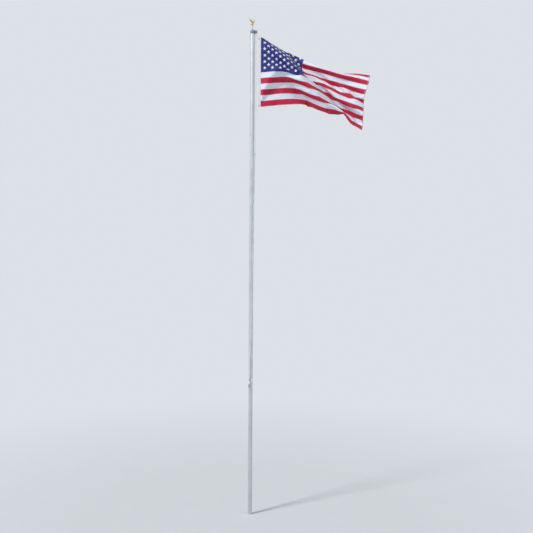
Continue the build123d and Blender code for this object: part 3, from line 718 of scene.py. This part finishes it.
# Each finish with its light and its dark colour, then what its own function takes
CLOTH_THREADS = 330.0
FINISHES = {
    "brushed_tube": (brushed_metal, (0.64, 0.68, 0.7), (0.53, 0.57, 0.59), 0.42, (30, 30, 900), 1.0, 0.85),
    "steel": (brushed_metal, (0.58, 0.59, 0.61), (0.42, 0.43, 0.45), 0.34, (120, 120, 900)),
    "grommet_brass": (brushed_metal, (0.8, 0.64, 0.32), (0.6, 0.45, 0.2), 0.3, (60, 60, 60), 8.0),
    "cast_cap": (cast_metal, (0.25, 0.28, 0.32), (0.18, 0.2, 0.24), 0.5),
    "cast_bright": (cast_metal, (0.6, 0.63, 0.66), (0.48, 0.51, 0.54), 0.45),
    "sheave_plastic": (moulded_plastic, (0.2, 0.21, 0.3), (0.13, 0.14, 0.2), 0.5),
    "hook_white": (moulded_plastic, (0.88, 0.89, 0.9), (0.8, 0.81, 0.83), 0.35),
    # The gilt's third colour is the dark brown of its painted shade
    "gilt": (gilding, (0.8, 0.65, 0.22), (0.56, 0.43, 0.11), (0.2, 0.12, 0.04)),
    "rope": (braided_rope, (0.9, 0.91, 0.92), (0.74, 0.75, 0.76), (0.5, 0.5, 0.51)),
    "heading_canvas": (canvas, (0.86, 0.88, 0.92), (0.76, 0.79, 0.84), 260.0, (0.5, 0.5, 0.5)),
    "cloth_blue": (woven_cloth, (0.032, 0.042, 0.25), (0.018, 0.024, 0.16), CLOTH_THREADS, 0.04),
    "cloth_red": (woven_cloth, (0.6, 0.02, 0.07), (0.46, 0.012, 0.048), CLOTH_THREADS, 0.03),
    "cloth_white": (woven_cloth, (0.79, 0.84, 0.93), (0.71, 0.77, 0.88), CLOTH_THREADS, 0.03),
    "thread_white": (woven_cloth, (0.88, 0.88, 0.88), (0.75, 0.76, 0.78), 700.0, 0.2),
}
finishes = {name: make(name, *values) for name, (make, *values) in FINISHES.items()}
slots = {row["node"]: row["material_slot"] for row in frame["record"]["subparts"]}
for name, node in frame["nodes"].items():
    node.data.materials.clear()
    node.data.materials.append(finishes["cast_bright" if name == "cleat" else slots[name]])


# Flag cloth: a canton and thirteen stripes, each thicker along its felled seams
def panel_rows(top, bottom, top_band):
    """Shares of the hoist down a panel, closer along its seams, each with the cloth's half thickness there."""
    band, ease = SEAM_WIDTH / HOIST, SEAM_EASE / HOIST
    rows, start, end = [(top, CLOTH_HALF)], top, bottom - band - ease
    if top_band:
        start = top + band + ease
        rows = [(top, SEAM_HALF), (top + band, SEAM_HALF), (start, CLOTH_HALF)]
    count = max(2, round((end - start) * HOIST / ROW_SPACING))
    rows += [(start + (end - start) * step / count, CLOTH_HALF) for step in range(1, count)]
    return np.array([*rows, (end, CLOTH_HALF), (bottom - band, SEAM_HALF), (bottom, SEAM_HALF)]).T


def panel(name, start, end, rows):
    """A panel of cloth between two shares of the length, as a closed shell with a hem if it ends at the fly."""
    count = round((end - start) * CLOTH_LENGTH / COLUMN_SPACING)
    columns = np.linspace(start, end, count + 1)
    extra = np.zeros(len(columns))
    if end == 1:
        hem = FLY_HEM / CLOTH_LENGTH
        columns = np.sort(np.append(columns[columns < 1 - hem * 1.3], [1 - hem * 1.08, 1 - hem, 1 - hem / 2, 1]))
        extra = np.where(columns >= 1 - hem - 1e-6, SEAM_HALF - CLOTH_HALF, 0)
    along, down = np.meshgrid(columns, rows[0], indexing="ij")
    half = np.maximum(rows[1][None, :], CLOTH_HALF + extra[:, None])
    flat = np.stack([along * CLOTH_LENGTH, down * HOIST], -1)
    points = cloth_points(along, down)
    normals = cloth_normals(along, down)
    shape = Shape()
    shape.grid(points + normals * half[..., None], flat=flat)
    back = shape.count
    shape.grid(points - normals * half[..., None], flat=flat, flipped=True)
    width = len(rows[0])
    rim = [(i, 0) for i in range(len(columns))]
    rim += [(len(columns) - 1, j) for j in range(1, width)]
    rim += [(i, width - 1) for i in range(len(columns) - 2, -1, -1)]
    rim += [(0, j) for j in range(width - 2, 0, -1)]
    places = [i * width + j for i, j in rim]
    for here, there in zip(places, places[1:] + places[:1]):
        shape.faces.append((there, here, back + here, back + there))
    made = shape.piece(f"sewn_{name}", slots[name], "flag")
    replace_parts(made, name)
    return made


canton = panel("flag_canton", TUCK, CANTON_END, panel_rows(0, stripe_seam(CANTON_STRIPES), True))
for stripe in range(STRIPE_COUNT):
    start = CANTON_END if stripe < CANTON_STRIPES else TUCK
    top, bottom = stripe_seam(stripe), stripe_seam(stripe + 1)
    made = panel(f"flag_stripe_{stripe + 1:02d}", start, 1, panel_rows(top, bottom, stripe == 0))


# Stars: embroidered on both sides of the canton, raised towards their middles
STAR_POINTS = 5
STAR_HOLLOW = 0.42
STAR_RELIEF = [(1.0, 0.0), (0.97, 0.0011), (0.72, 0.0015), (0.4, 0.0017), (0.1, 0.0018)]


def star_outline():
    """The outline of a star with one point up, each of its sides in three parts."""
    corners = []
    for corner in range(2 * STAR_POINTS):
        reach = STAR_RADIUS * (STAR_HOLLOW if corner % 2 else 1)
        angle = pi / 2 + corner * pi / STAR_POINTS
        corners.append((reach * cos(angle), -reach * sin(angle)))
    corners = np.array(corners)
    sides = np.roll(corners, -1, 0) - corners
    return np.stack([corners + sides * share for share in (0, 1 / 3, 2 / 3)], 1).reshape(-1, 2)


def canton_stars():
    """All the stars as one piece of embroidery."""
    shape = Shape()
    edge = star_outline()
    rings = np.array([edge * scale for scale, _ in STAR_RELIEF])
    for row in range(1, STAR_ROWS + 1):
        for column in range(1 + (row + 1) % 2, STAR_COLUMNS + 1, 2):
            middle = np.array(star_share(column, row))
            for side in (1, -1):
                layers = []
                for scale, height in STAR_RELIEF:
                    place = middle + edge * scale / np.array([CLOTH_LENGTH, HOIST])
                    layers.append(cloth_offset(place[:, 0], place[:, 1], side * (CLOTH_HALF + height)))
                inner = shape.count + (len(layers) - 1) * len(edge)
                shape.grid(np.array(layers), closed=True, flat=rings, flipped=side < 0)
                cap = range(inner, inner + len(edge))
                shape.faces.append(tuple(cap if side < 0 else reversed(cap)))
    return shape.piece("canton_stars", "cloth_white", "flag", "thread_white", smooth=False)


stars = canton_stars()


# Stitching: rows of short threads, laid on both sides of the cloth
def stitches(shape, along, down, height):
    """Adds stitches along a line between two places on the cloth, given as shares."""
    (s0, s1), (t0, t1) = along, down
    length = hypot((s1 - s0) * CLOTH_LENGTH, (t1 - t0) * HOIST)
    count = int(length / STITCH_PITCH)
    starts = (np.arange(count) + 0.14) / count
    half = 0.36 * STITCH_PITCH / length
    across = np.array([-(t1 - t0) * HOIST, (s1 - s0) * CLOTH_LENGTH]) / length * THREAD_HALF
    for side in (1, -1):
        rings = []
        for step, rise in ((0, 0), (half * 0.5, 1), (half * 1.5, 1), (half * 2, 0)):
            share = starts + step
            s, t = s0 + (s1 - s0) * share, t0 + (t1 - t0) * share
            ring = []
            for aside, lift in ((-1, 0.0), (0, THREAD_RISE), (1, 0.0)):
                ds, dt = aside * across[0] / CLOTH_LENGTH, aside * across[1] / HOIST
                ring.append(cloth_offset(s + ds, t + dt, side * (height + lift * rise)))
            rings.append(ring)
        rings = np.array(rings).transpose(2, 0, 1, 3)
        i, j = np.meshgrid(np.arange(3), np.arange(2), indexing="ij")
        corner = np.stack([i * 3 + j, (i + 1) * 3 + j, (i + 1) * 3 + j + 1, i * 3 + j + 1], -1).reshape(-1, 4)
        faces = (corner[None] + np.arange(count)[:, None, None] * 12).reshape(-1, 4)
        shape.add(rings, faces if side > 0 else faces[:, ::-1])


threads = Shape()
band = SEAM_WIDTH / HOIST
for count in range(1, STRIPE_COUNT + 1):
    start = CANTON_END if count < CANTON_STRIPES else 0
    for share in SEAM_ROWS:
        level = stripe_seam(count) - band * share
        stitches(threads, (start, 1), (level, level), SEAM_HALF)
for share in SEAM_ROWS:
    stitches(threads, (0, 1), (band * share, band * share), SEAM_HALF)
    edge = CANTON_END - band * share * HOIST / CLOTH_LENGTH
    stitches(threads, (edge, edge), (0, stripe_seam(CANTON_STRIPES)), CLOTH_HALF)
for inset in FLY_ROWS:
    edge = 1 - inset / CLOTH_LENGTH
    stitches(threads, (edge, edge), (0, 1), SEAM_HALF)
threads.piece("seam_stitching", "cloth_white", "flag", "thread_white")


# Heading: a folded canvas band with its sewn edges, opened for the grommets
HEADING_HALF = 0.0013
HEADING_FOLD = 0.0016
HEADING_LEVELS = 220
RIPPLE = 0.0011
CRIMP = 0.00012
GROMMET_BARREL = 0.0061


def heading_band():
    """The canvas heading, with a soft ripple that fades towards the sewn cloth, and rounded folds."""
    low, high = heading_low, heading_high
    section = [(low[0], 0), (low[0] + 0.0005, 0.75), (low[0] + HEADING_FOLD, 1)]
    section += [(x, 1) for x in np.linspace(low[0] + HEADING_FOLD, high[0] - HEADING_FOLD, 7)[1:]]
    section += [(high[0] - 0.0005, 0.75), (high[0], 0)]
    ring = section + [(x, -y) for x, y in reversed(section[1:-1])]
    free = [1 - 0.9 * (x - low[0]) / (high[0] - low[0]) for x, _ in ring]
    rings = []
    for level in np.linspace(high[2], low[2], HEADING_LEVELS + 1):
        fall = (high[2] - level) / HOIST
        held = min(1, min(fall, 1 - fall) * 12)
        ripple = RIPPLE * held * (sin(fall * 47) + 0.6 * sin(fall * 83 + 1))
        crimp = CRIMP * sin(level * 1100)
        sides = [-y * (HEADING_HALF + crimp * (abs(y) == 1)) + ripple * share for (_, y), share in zip(ring, free)]
        rings.append([(x, side, level) for (x, _), side in zip(ring, sides)])
    rings = np.array(rings)
    shape = Shape()
    shape.tube(rings)
    shape.flat = [rings[:, :, [0, 2]].reshape(-1, 2)]
    made = shape.piece("canvas_heading", "heading_canvas", "flag")
    for name in ("upper_grommet", "lower_grommet"):
        middle = sum(box_corners(name)) / 2
        bpy.ops.mesh.primitive_cylinder_add(
            vertices=40, radius=GROMMET_BARREL, depth=0.03, location=tuple(middle), rotation=(pi / 2, 0, 0)
        )
        punch = bpy.context.object
        cut = made.modifiers.new(name, "BOOLEAN")
        cut.object, cut.operation, cut.solver = punch, "DIFFERENCE", "EXACT"
        bpy.context.view_layer.objects.active = made
        bpy.ops.object.modifier_apply(modifier=name)
        bpy.data.objects.remove(punch)
    return made


heading = heading_band()
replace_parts(heading, "flag_heading")


# Halyard: braided rope, held to both snap hooks by whipped hitches, and made fast on the cleat
ROPE_RADIUS = 0.0032
ROPE_SPACING = 0.0016
BRAID_LAY = 0.017
BRAID_RELIEF = 0.00042
LAY_RADIUS = 0.0298
WRAP = [(3.9, -35), (3.42, -46), (3.02, -60), (2.72, -75), (2.44, -91), (2.18, -107), (1.96, -120)]
WRAP_EASING = 151
LEG_SPACING = 17.0
LEG_END = 1.752
LEG_END_ANGLES = (-131, -115)
PITCH_RADIUS = 0.0124
HITCH_X = 0.048
BINDING_RADIUS = 0.0043
BINDING_WIRE = 0.0011
BINDING_HEIGHT = 0.0085
BINDING_TURNS = 5
BINDING_INSETS = (0.006, 0.0136)
KNOT_LEVEL = 4.548
KNOT_RADIUS = 0.0058
KNOT_HALF = 0.009
KNOT_TAIL = [(0.001, -0.004, 0.0), (0.007, -0.0065, 0.007), (0.0095, -0.004, 0.014), (0.004, -0.001, 0.027)]


def around_pole(angle, radius, height):
    """Points at angles in degrees round the pole, from +X towards +Y."""
    turn = np.radians(angle)
    return np.stack([radius * np.cos(turn), radius * np.sin(turn), height], -1)


def braid(angles, lengths):
    """The relief of a round braid: strands that cross in two directions."""
    turn = 2 * pi * lengths / BRAID_LAY
    return BRAID_RELIEF * np.maximum(np.sin(4 * angles + 4 * turn), np.sin(4 * angles - 4 * turn)) - 0.0002


def rope_piece(name, line, *nodes):
    """A braided rope along a line, in place of CAD nodes where it stands for any."""
    shape = Shape()
    shape.tube(rings_along(line, ROPE_RADIUS, 16, braid))
    made = shape.piece(name, "rope", "mast")
    if nodes:
        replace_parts(made, *nodes)


def straight(start, end):
    """Evenly spaced points from one place to another, without the last."""
    start, end = np.array(start, float), np.array(end, float)
    count = max(2, int(np.linalg.norm(end - start) / ROPE_SPACING))
    return start + (end - start) * (np.arange(count) / count)[:, None]


def wrapped_leg(turn_back, end_angle):
    """The line of a leg from where it first lies on the pole down to the cleat."""
    knots = [(height, angle + turn_back) for height, angle in WRAP] + [(LEG_END, end_angle)]
    heights = np.arange(knots[0][0], LEG_END, -ROPE_SPACING)
    angles = np.interp(heights, *np.array(knots[::-1]).T)
    kernel = np.hanning(WRAP_EASING)
    padded = np.pad(angles, WRAP_EASING // 2, mode="reflect", reflect_type="odd")
    return around_pole(np.convolve(padded, kernel / kernel.sum(), mode="valid"), LAY_RADIUS, heights)


sheave_middle = sum(box_corners("sheave")) / 2
hitch_low, hitch_high = box_corners("halyard_hitches")
hauling_top = sheave_middle - [PITCH_RADIUS, 0, 0]
hauling_line = wrapped_leg(0, LEG_END_ANGLES[0])
hoist_line = wrapped_leg(LEG_SPACING, LEG_END_ANGLES[1])
top_bend = np.array([HITCH_X, 0, hitch_high[2] + 0.002])
low_bend = np.array([HITCH_X, 0, hitch_low[2] - 0.002])
run = top_bend - sheave_middle
leave = atan2(run[2], run[0]) + np.arccos(PITCH_RADIUS / np.linalg.norm(run))
turns = np.append(np.linspace(pi, leave, 26)[:-1], leave)
over_sheave = sheave_middle + PITCH_RADIUS * np.stack([np.cos(turns), np.zeros(len(turns)), np.sin(turns)], -1)
hauling_upper = np.concatenate([straight(hauling_line[0], hauling_top), over_sheave[:-1]])[::-1]
hoist_upper = np.concatenate([straight(over_sheave[-1], top_bend), straight(top_bend, low_bend)])
hoist_lower = np.concatenate([straight(low_bend, hoist_line[0]), hoist_line])
rope_piece("hauling_rope", hauling_upper, "halyard_sheave_turn")
rope_piece("hauling_rope_lower", hauling_line, "halyard_hauling_leg")
rope_piece("hoist_rope", hoist_upper)
rope_piece("hoist_rope_lower", hoist_lower, "halyard_hoist_leg")

bindings = Shape()
half = BINDING_HEIGHT / 2
levels = [hitch_high[2] - inset for inset in BINDING_INSETS] + [hitch_low[2] + inset for inset in BINDING_INSETS[::-1]]
for level in levels:
    wound = helix(BINDING_RADIUS, BINDING_TURNS, -half, half, 26 * BINDING_TURNS) + [HITCH_X, 0, level]
    bindings.tube(rings_along(wound, BINDING_WIRE, 8))
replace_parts(bindings.piece("hitch_bindings", "rope", "mast"), "halyard_hitches")


def joining_knot():
    """The knot that joins the halyard's two ends beside the pole, with its short tails."""
    middle = hoist_lower[np.abs(hoist_lower[:, 2] - KNOT_LEVEL).argmin()]
    shape = Shape()
    wound = helix(KNOT_RADIUS, 2.5, -KNOT_HALF, KNOT_HALF, 70) + middle
    shape.tube(rings_along(wound, ROPE_RADIUS, 14, braid))
    for way in (1, -1):
        line = smooth_line([middle + np.array([out, back, up * way]) for out, back, up in KNOT_TAIL], ROPE_SPACING)
        radii = np.full(len(line), ROPE_RADIUS * 0.94)
        radii[-3:] = ROPE_RADIUS * np.array([1.0, 0.98, 0.8])
        shape.tube(rings_along(line, radii, 14, braid))
    shape.piece("joining_knot", "rope", "mast")


joining_knot()


# Turns on the cleat: both legs of the loop, wound in figures of eight, with a slack bight below
CLEAT_ANGLE = -102.0
CLEAT_TURNS = 4
CLEAT_LEVEL = sum(box_corners("cleat"))[2] / 2


def on_cleat(up, aside, out):
    """A place in millimetres from the cleat's middle: up, round to its right, and out from the pole's axis."""
    outward, rightward = around_pole(CLEAT_ANGLE, 1, 0), around_pole(CLEAT_ANGLE + 90, 1, 0)
    return outward * (out / 1000) + rightward * (aside / 1000) + np.array([0, 0, CLEAT_LEVEL + up / 1000])


def cleat_route():
    """Where the rope goes between the two legs, as on_cleat measures."""
    route = [(60, -14.5, 27.5), (20, -13.5, 30), (-20, -12.5, 32)]
    for turn in range(CLEAT_TURNS):
        reach, left, right = 38 + 8 * turn, 11 + 2 * turn, 13 + 6 * turn
        aside, lift = 4.5 * turn - 5, 4.2 * turn
        beside = 41 + 0.7 * lift
        route += [
            (-reach, -left * 0.5, 35), (-reach - 1, right * 0.5, 35), (-reach * 0.65, right, beside),
            (-9, aside + 4, 56 + lift), (9, aside - 4, 56 + lift),
            (reach * 0.65, -left, beside), (reach + 1, -left * 0.5, 35), (reach, right * 0.5, 35),
            (reach * 0.65, right, beside + 1), (9, 6 - aside, 62 + lift), (-9, -2 - aside, 62 + lift),
            (-reach * 0.65, -left, beside + 1),
        ]
    route += [(-64, -15, 36), (-75, -12, 32), (-80, -6, 31), (-76, 1, 31), (-62, 8, 31)]
    return route + [(-40, 12, 28.5), (0, 12.5, 28), (34, 9, 28.5), (64, 0, 29), (80, -5, 29)]


over_end = [0, 0, 0.004]  # so that the turns start inside the legs
cleat_knots = [hauling_line[-1] + over_end, *[on_cleat(*place) for place in cleat_route()], hoist_lower[-1] + over_end]
rope_piece("cleat_turns", smooth_line(cleat_knots, ROPE_SPACING), "halyard_turns")


# Eagle: a gilt casting, made in its own millimetres with x ahead, y to its left and z up from its perch
EAGLE_YAW = -40.0
perch_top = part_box("eagle_perch")[1][2]


def from_eagle(points):
    """The eagle's own millimetres as places in the frame."""
    points = np.asarray(points, float) / 1000
    turn = radians(EAGLE_YAW)
    x = points[..., 0] * cos(turn) - points[..., 1] * sin(turn)
    y = points[..., 0] * sin(turn) + points[..., 1] * cos(turn)
    return np.stack([x, y, points[..., 2] + perch_top], -1)


def limb(shape, knots, spacing, sides, relief=None):
    """A smooth round limb through knots of x, y, z and radius."""
    line = smooth_line(knots, spacing)
    shape.tube(from_eagle(rings_along(line[:, :3], line[:, 3], sides, relief)))


def feathered(pitch, depth, around):
    """The relief of overlapping feathers by angle and length, in millimetres."""

    def relief(angles, lengths):
        return depth * ((lengths / pitch + 0.5 * np.abs(np.sin(around * angles / 2))) % 1 - 0.5)

    return relief


BLADE = [
    (1, 0), (0.6, 0.55), (0.14, 0.62), (0, 1.25), (-0.14, 0.62), (-0.6, 0.55), (-1, 0), (-0.6, -0.6), (0.6, -0.6)
]


def blade(shape, start, reach, up, width, thick, curl=0.0):
    """A feather: a flat tapering blade with a raised quill, which curls up towards its tip."""
    start, reach = np.array(start, float), np.array(reach, float)
    length = np.linalg.norm(reach)
    ahead = reach / length
    up = np.array(up, float) - ahead * (np.array(up, float) @ ahead)
    up = up / np.linalg.norm(up)
    side = np.cross(up, ahead)
    rings = []
    for share in (0, 0.1, 0.3, 0.55, 0.78, 0.9, 0.97, 1.0):
        middle = start + ahead * length * share + up * curl * share * share
        half = width / 2 * (0.45 + 0.55 * sin(pi * min(share * 1.1, 0.5))) * (1 - max(0, share - 0.7) ** 2 * 9.5)
        half = max(half, width * 0.06)
        fat = thick / 2 * (1 - 0.55 * share)
        rings.append([middle + side * half * a + up * fat * b for a, b in BLADE])
    shape.tube(from_eagle(rings))


def wing(shape, left):
    """One raised wing: a feathered arm with flight feathers behind it and two rows of coverts over them."""
    hand = 1 if left else -1
    lift = radians(38)

    def spread(out, ahead, above=0.0):
        aside, high = out * cos(lift) - above * sin(lift), out * sin(lift) + above * cos(lift)
        return np.array([2 + ahead, hand * (4 + aside), 21 + high])

    up = spread(0, 0, 1) - spread(0, 0, 0)
    arm = [(0, 7, 0, 5.0), (8, 9.5, 0, 4.6), (18, 9, 0.3, 3.8), (29, 6, 0.6, 2.9), (39, 1, 0.9, 2.0), (46, -5, 1, 1.2)]
    knots = [[*spread(out, ahead, above), radius] for out, ahead, above, radius in arm]
    limb(shape, knots, 0.7, 18, feathered(2.6, 0.5, 6))
    for index in range(13):
        share = index / 12
        out, ahead = 3 + 42 * share, 8 - 12.5 * share**2.2
        turn = radians(6 + 62 * share**1.5)
        length = 15 + 9.5 * sin(pi * min(1, share * 0.75)) - 3 * share
        reach = spread(sin(turn) * length, -cos(turn) * length) - spread(0, 0)
        blade(shape, spread(out, ahead, -0.5 + 0.12 * index), reach, up, 6.0 - 1.6 * share, 1.5, 1.2 + share)
    for row, (count, cover, above) in enumerate(((11, 0.62, 0.9), (9, 0.36, 1.7))):
        for index in range(count):
            share = index / (count - 1)
            out, ahead = 3 + 38 * share, 8.5 - 11 * share**2.2
            turn = radians(4 + 58 * share**1.5)
            length = (15 + 7 * sin(pi * min(1, share * 0.75))) * cover
            reach = spread(sin(turn) * length, -cos(turn) * length) - spread(0, 0)
            for face in (1, -1):
                blade(shape, spread(out, ahead, above * face), reach, up * face, 5.0 - 1.2 * share, 1.2, 0.5)


def ball(shape, middle, radius):
    """A small ball."""
    sides = 14
    polar = np.linspace(0.15, pi - 0.15, 9)[::-1, None]
    around = np.linspace(0, 2 * pi, sides, endpoint=False)
    across = np.sin(polar)
    rings = np.stack([across * np.cos(around), across * np.sin(around), np.cos(polar) * np.ones(sides)], -1)
    shape.tube(from_eagle(np.array(middle) + rings * radius))


def eagle():
    """The whole bird."""
    shape = Shape()
    trunk = [
        (-10, 7, 2.4), (-6, 8.5, 5.2), (-1, 13, 8.2), (5, 21, 9.8), (10, 29.5, 9.2), (14.5, 36.5, 7.0), (18, 41.5, 6.0),
        (21, 46, 6.4), (23, 50, 5.0), (24, 52.3, 2.4), (24.2, 53.2, 0.8),
    ]
    limb(shape, [(x, 0, z, radius) for x, z, radius in trunk], 0.5, 40, feathered(3.0, 0.55, 9))
    limb(shape, [(26, 0, 47.6, 3.0), (30, 0, 47.6, 2.5), (33.5, 0, 46, 1.6), (34.8, 0, 42.8, 0.4)], 0.5, 14)
    limb(shape, [(26, 0, 45.2, 2.2), (29.5, 0, 44.6, 1.4), (32, 0, 44.2, 0.5)], 0.6, 12)
    for hand in (1, -1):
        ball(shape, (26.2, 4.0 * hand, 48.9), 1.25)
        brow = [(22.5, 4.6 * hand, 51.3, 0.8), (26, 4.7 * hand, 50.7, 1.0), (29.4, 2.4 * hand, 49.4, 0.5)]
        limb(shape, brow, 0.6, 8)
        thigh = [(3, 4.6, 17, 5.0), (2, 5, 11, 4.2), (1.4, 4.8, 5.5, 2.6), (1, 4.6, 2.6, 1.7)]
        limb(shape, [(x, y * hand, z, radius) for x, y, z, radius in thigh], 0.5, 22, feathered(2.2, 0.4, 6))
        for angle in (-28, 0, 28, 180):
            ahead = np.array([cos(radians(angle)), sin(radians(angle))])
            root = np.array([1.2, 4.4 * hand])
            long = 1.0 if angle != 180 else 0.75
            toe = [(0, 2.4, 1.5), (2.6, 2.0, 1.35), (5.2, 1.3, 1.15), (6.9, -0.4, 0.7), (7.2, -2.4, 0.2)]
            limb(shape, [(*(root + ahead * (out * long)), up, radius) for out, up, radius in toe], 0.5, 10)
    for index in range(-4, 5):
        turn = radians(index * 7.5)
        fall = radians(22)
        reach = 21.5 * np.array([-cos(turn) * cos(fall), sin(turn), -cos(turn) * sin(fall)])
        blade(shape, (-6, index * 0.7, 10.5 - abs(index) * 0.25), reach, (0, 0, 1), 5.4, 1.6, 1.0)
    wing(shape, True)
    wing(shape, False)
    return shape.piece("gilt_eagle", "gilt", "mast")


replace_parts(eagle(), "eagle")


# Thread on the finial's spindle, above its jam nut
def spindle_thread():
    """The rolled thread that the jam nut runs on."""
    low, high = box_corners("finial_spindle")
    radius, pitch, length = (high[0] - low[0]) / 2, 0.0019, 0.018
    line = helix(radius, length / pitch, 0, length, 300) + [0, 0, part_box("jam_nut")[1][2]]
    shape = Shape()
    shape.tube(rings_along(line, 0.00055, 6))
    shape.piece("spindle_thread", "steel", "mast")


spindle_thread()


# Light, floor and background
def studio():
    """A pale floor that fades into a pale background, a soft key light and an even world."""
    background = (0.72, 0.755, 0.80, 1)
    world = bpy.data.worlds.new("studio")
    bpy.context.scene.world = world
    sky = Nodes(world)
    shown = sky.nodes["Background"]
    shown.inputs["Color"].default_value = background
    shown.inputs["Strength"].default_value = 1
    lit = sky.node("ShaderNodeBackground", {"Color": (0.93, 0.96, 1, 1), "Strength": 0.46})
    ends = {0: sky.direct_sight(), 1: lit.outputs[0], 2: shown.outputs[0]}
    mixed = sky.node("ShaderNodeMixShader", ends)
    sky.links.new(mixed.outputs[0], sky.nodes["World Output"].inputs["Surface"])

    bpy.ops.mesh.primitive_plane_add(size=80, location=(0, 0, 0))
    floor = bpy.context.object
    floor.name = "floor"
    made = Material("floor", 0.9)
    grain = made.noise(made.place(), 3.0)
    made.colour(made.blend(grain, (0.64, 0.67, 0.69), (0.67, 0.7, 0.72)))
    glow = made.node("ShaderNodeEmission", {"Color": background})
    distance = made.node("ShaderNodeVectorMath", {0: made.place()}, operation="LENGTH").outputs["Value"]
    share = made.math("MULTIPLY", made.between(distance, 2.0, 7.0, 0.0, 1.0), made.direct_sight())
    fade = made.node("ShaderNodeMixShader", {0: share, 1: made.shader.outputs[0], 2: glow.outputs[0]})
    made.links.new(fade.outputs[0], made.nodes["Material Output"].inputs["Surface"])
    floor.data.materials.append(made.material)

    for name, strength, angle, turn in (("key", 2.3, 10, (52, 0, -55)), ("fill", 0.35, 40, (62, 0, 50))):
        lamp = bpy.data.lights.new(name, "SUN")
        lamp.energy, lamp.angle = strength, radians(angle)
        linked(name, lamp).rotation_euler = [radians(value) for value in turn]


def photo_camera():
    """The camera that stands where the photograph's did."""
    lens = bpy.data.cameras.new("photo_camera")
    lens.sensor_width = SENSOR_WIDTH
    lens.lens = FOCAL_PIXELS / PICTURE_SIZE * SENSOR_WIDTH
    camera = linked("photo_camera", lens)
    camera.location = CAMERA_PLACE
    camera.rotation_euler = (pi / 2, -radians(CAMERA_ROLL), 0)
    bpy.context.scene.camera = camera


studio()
photo_camera()
bpy.context.scene.view_settings.view_transform = "Standard"
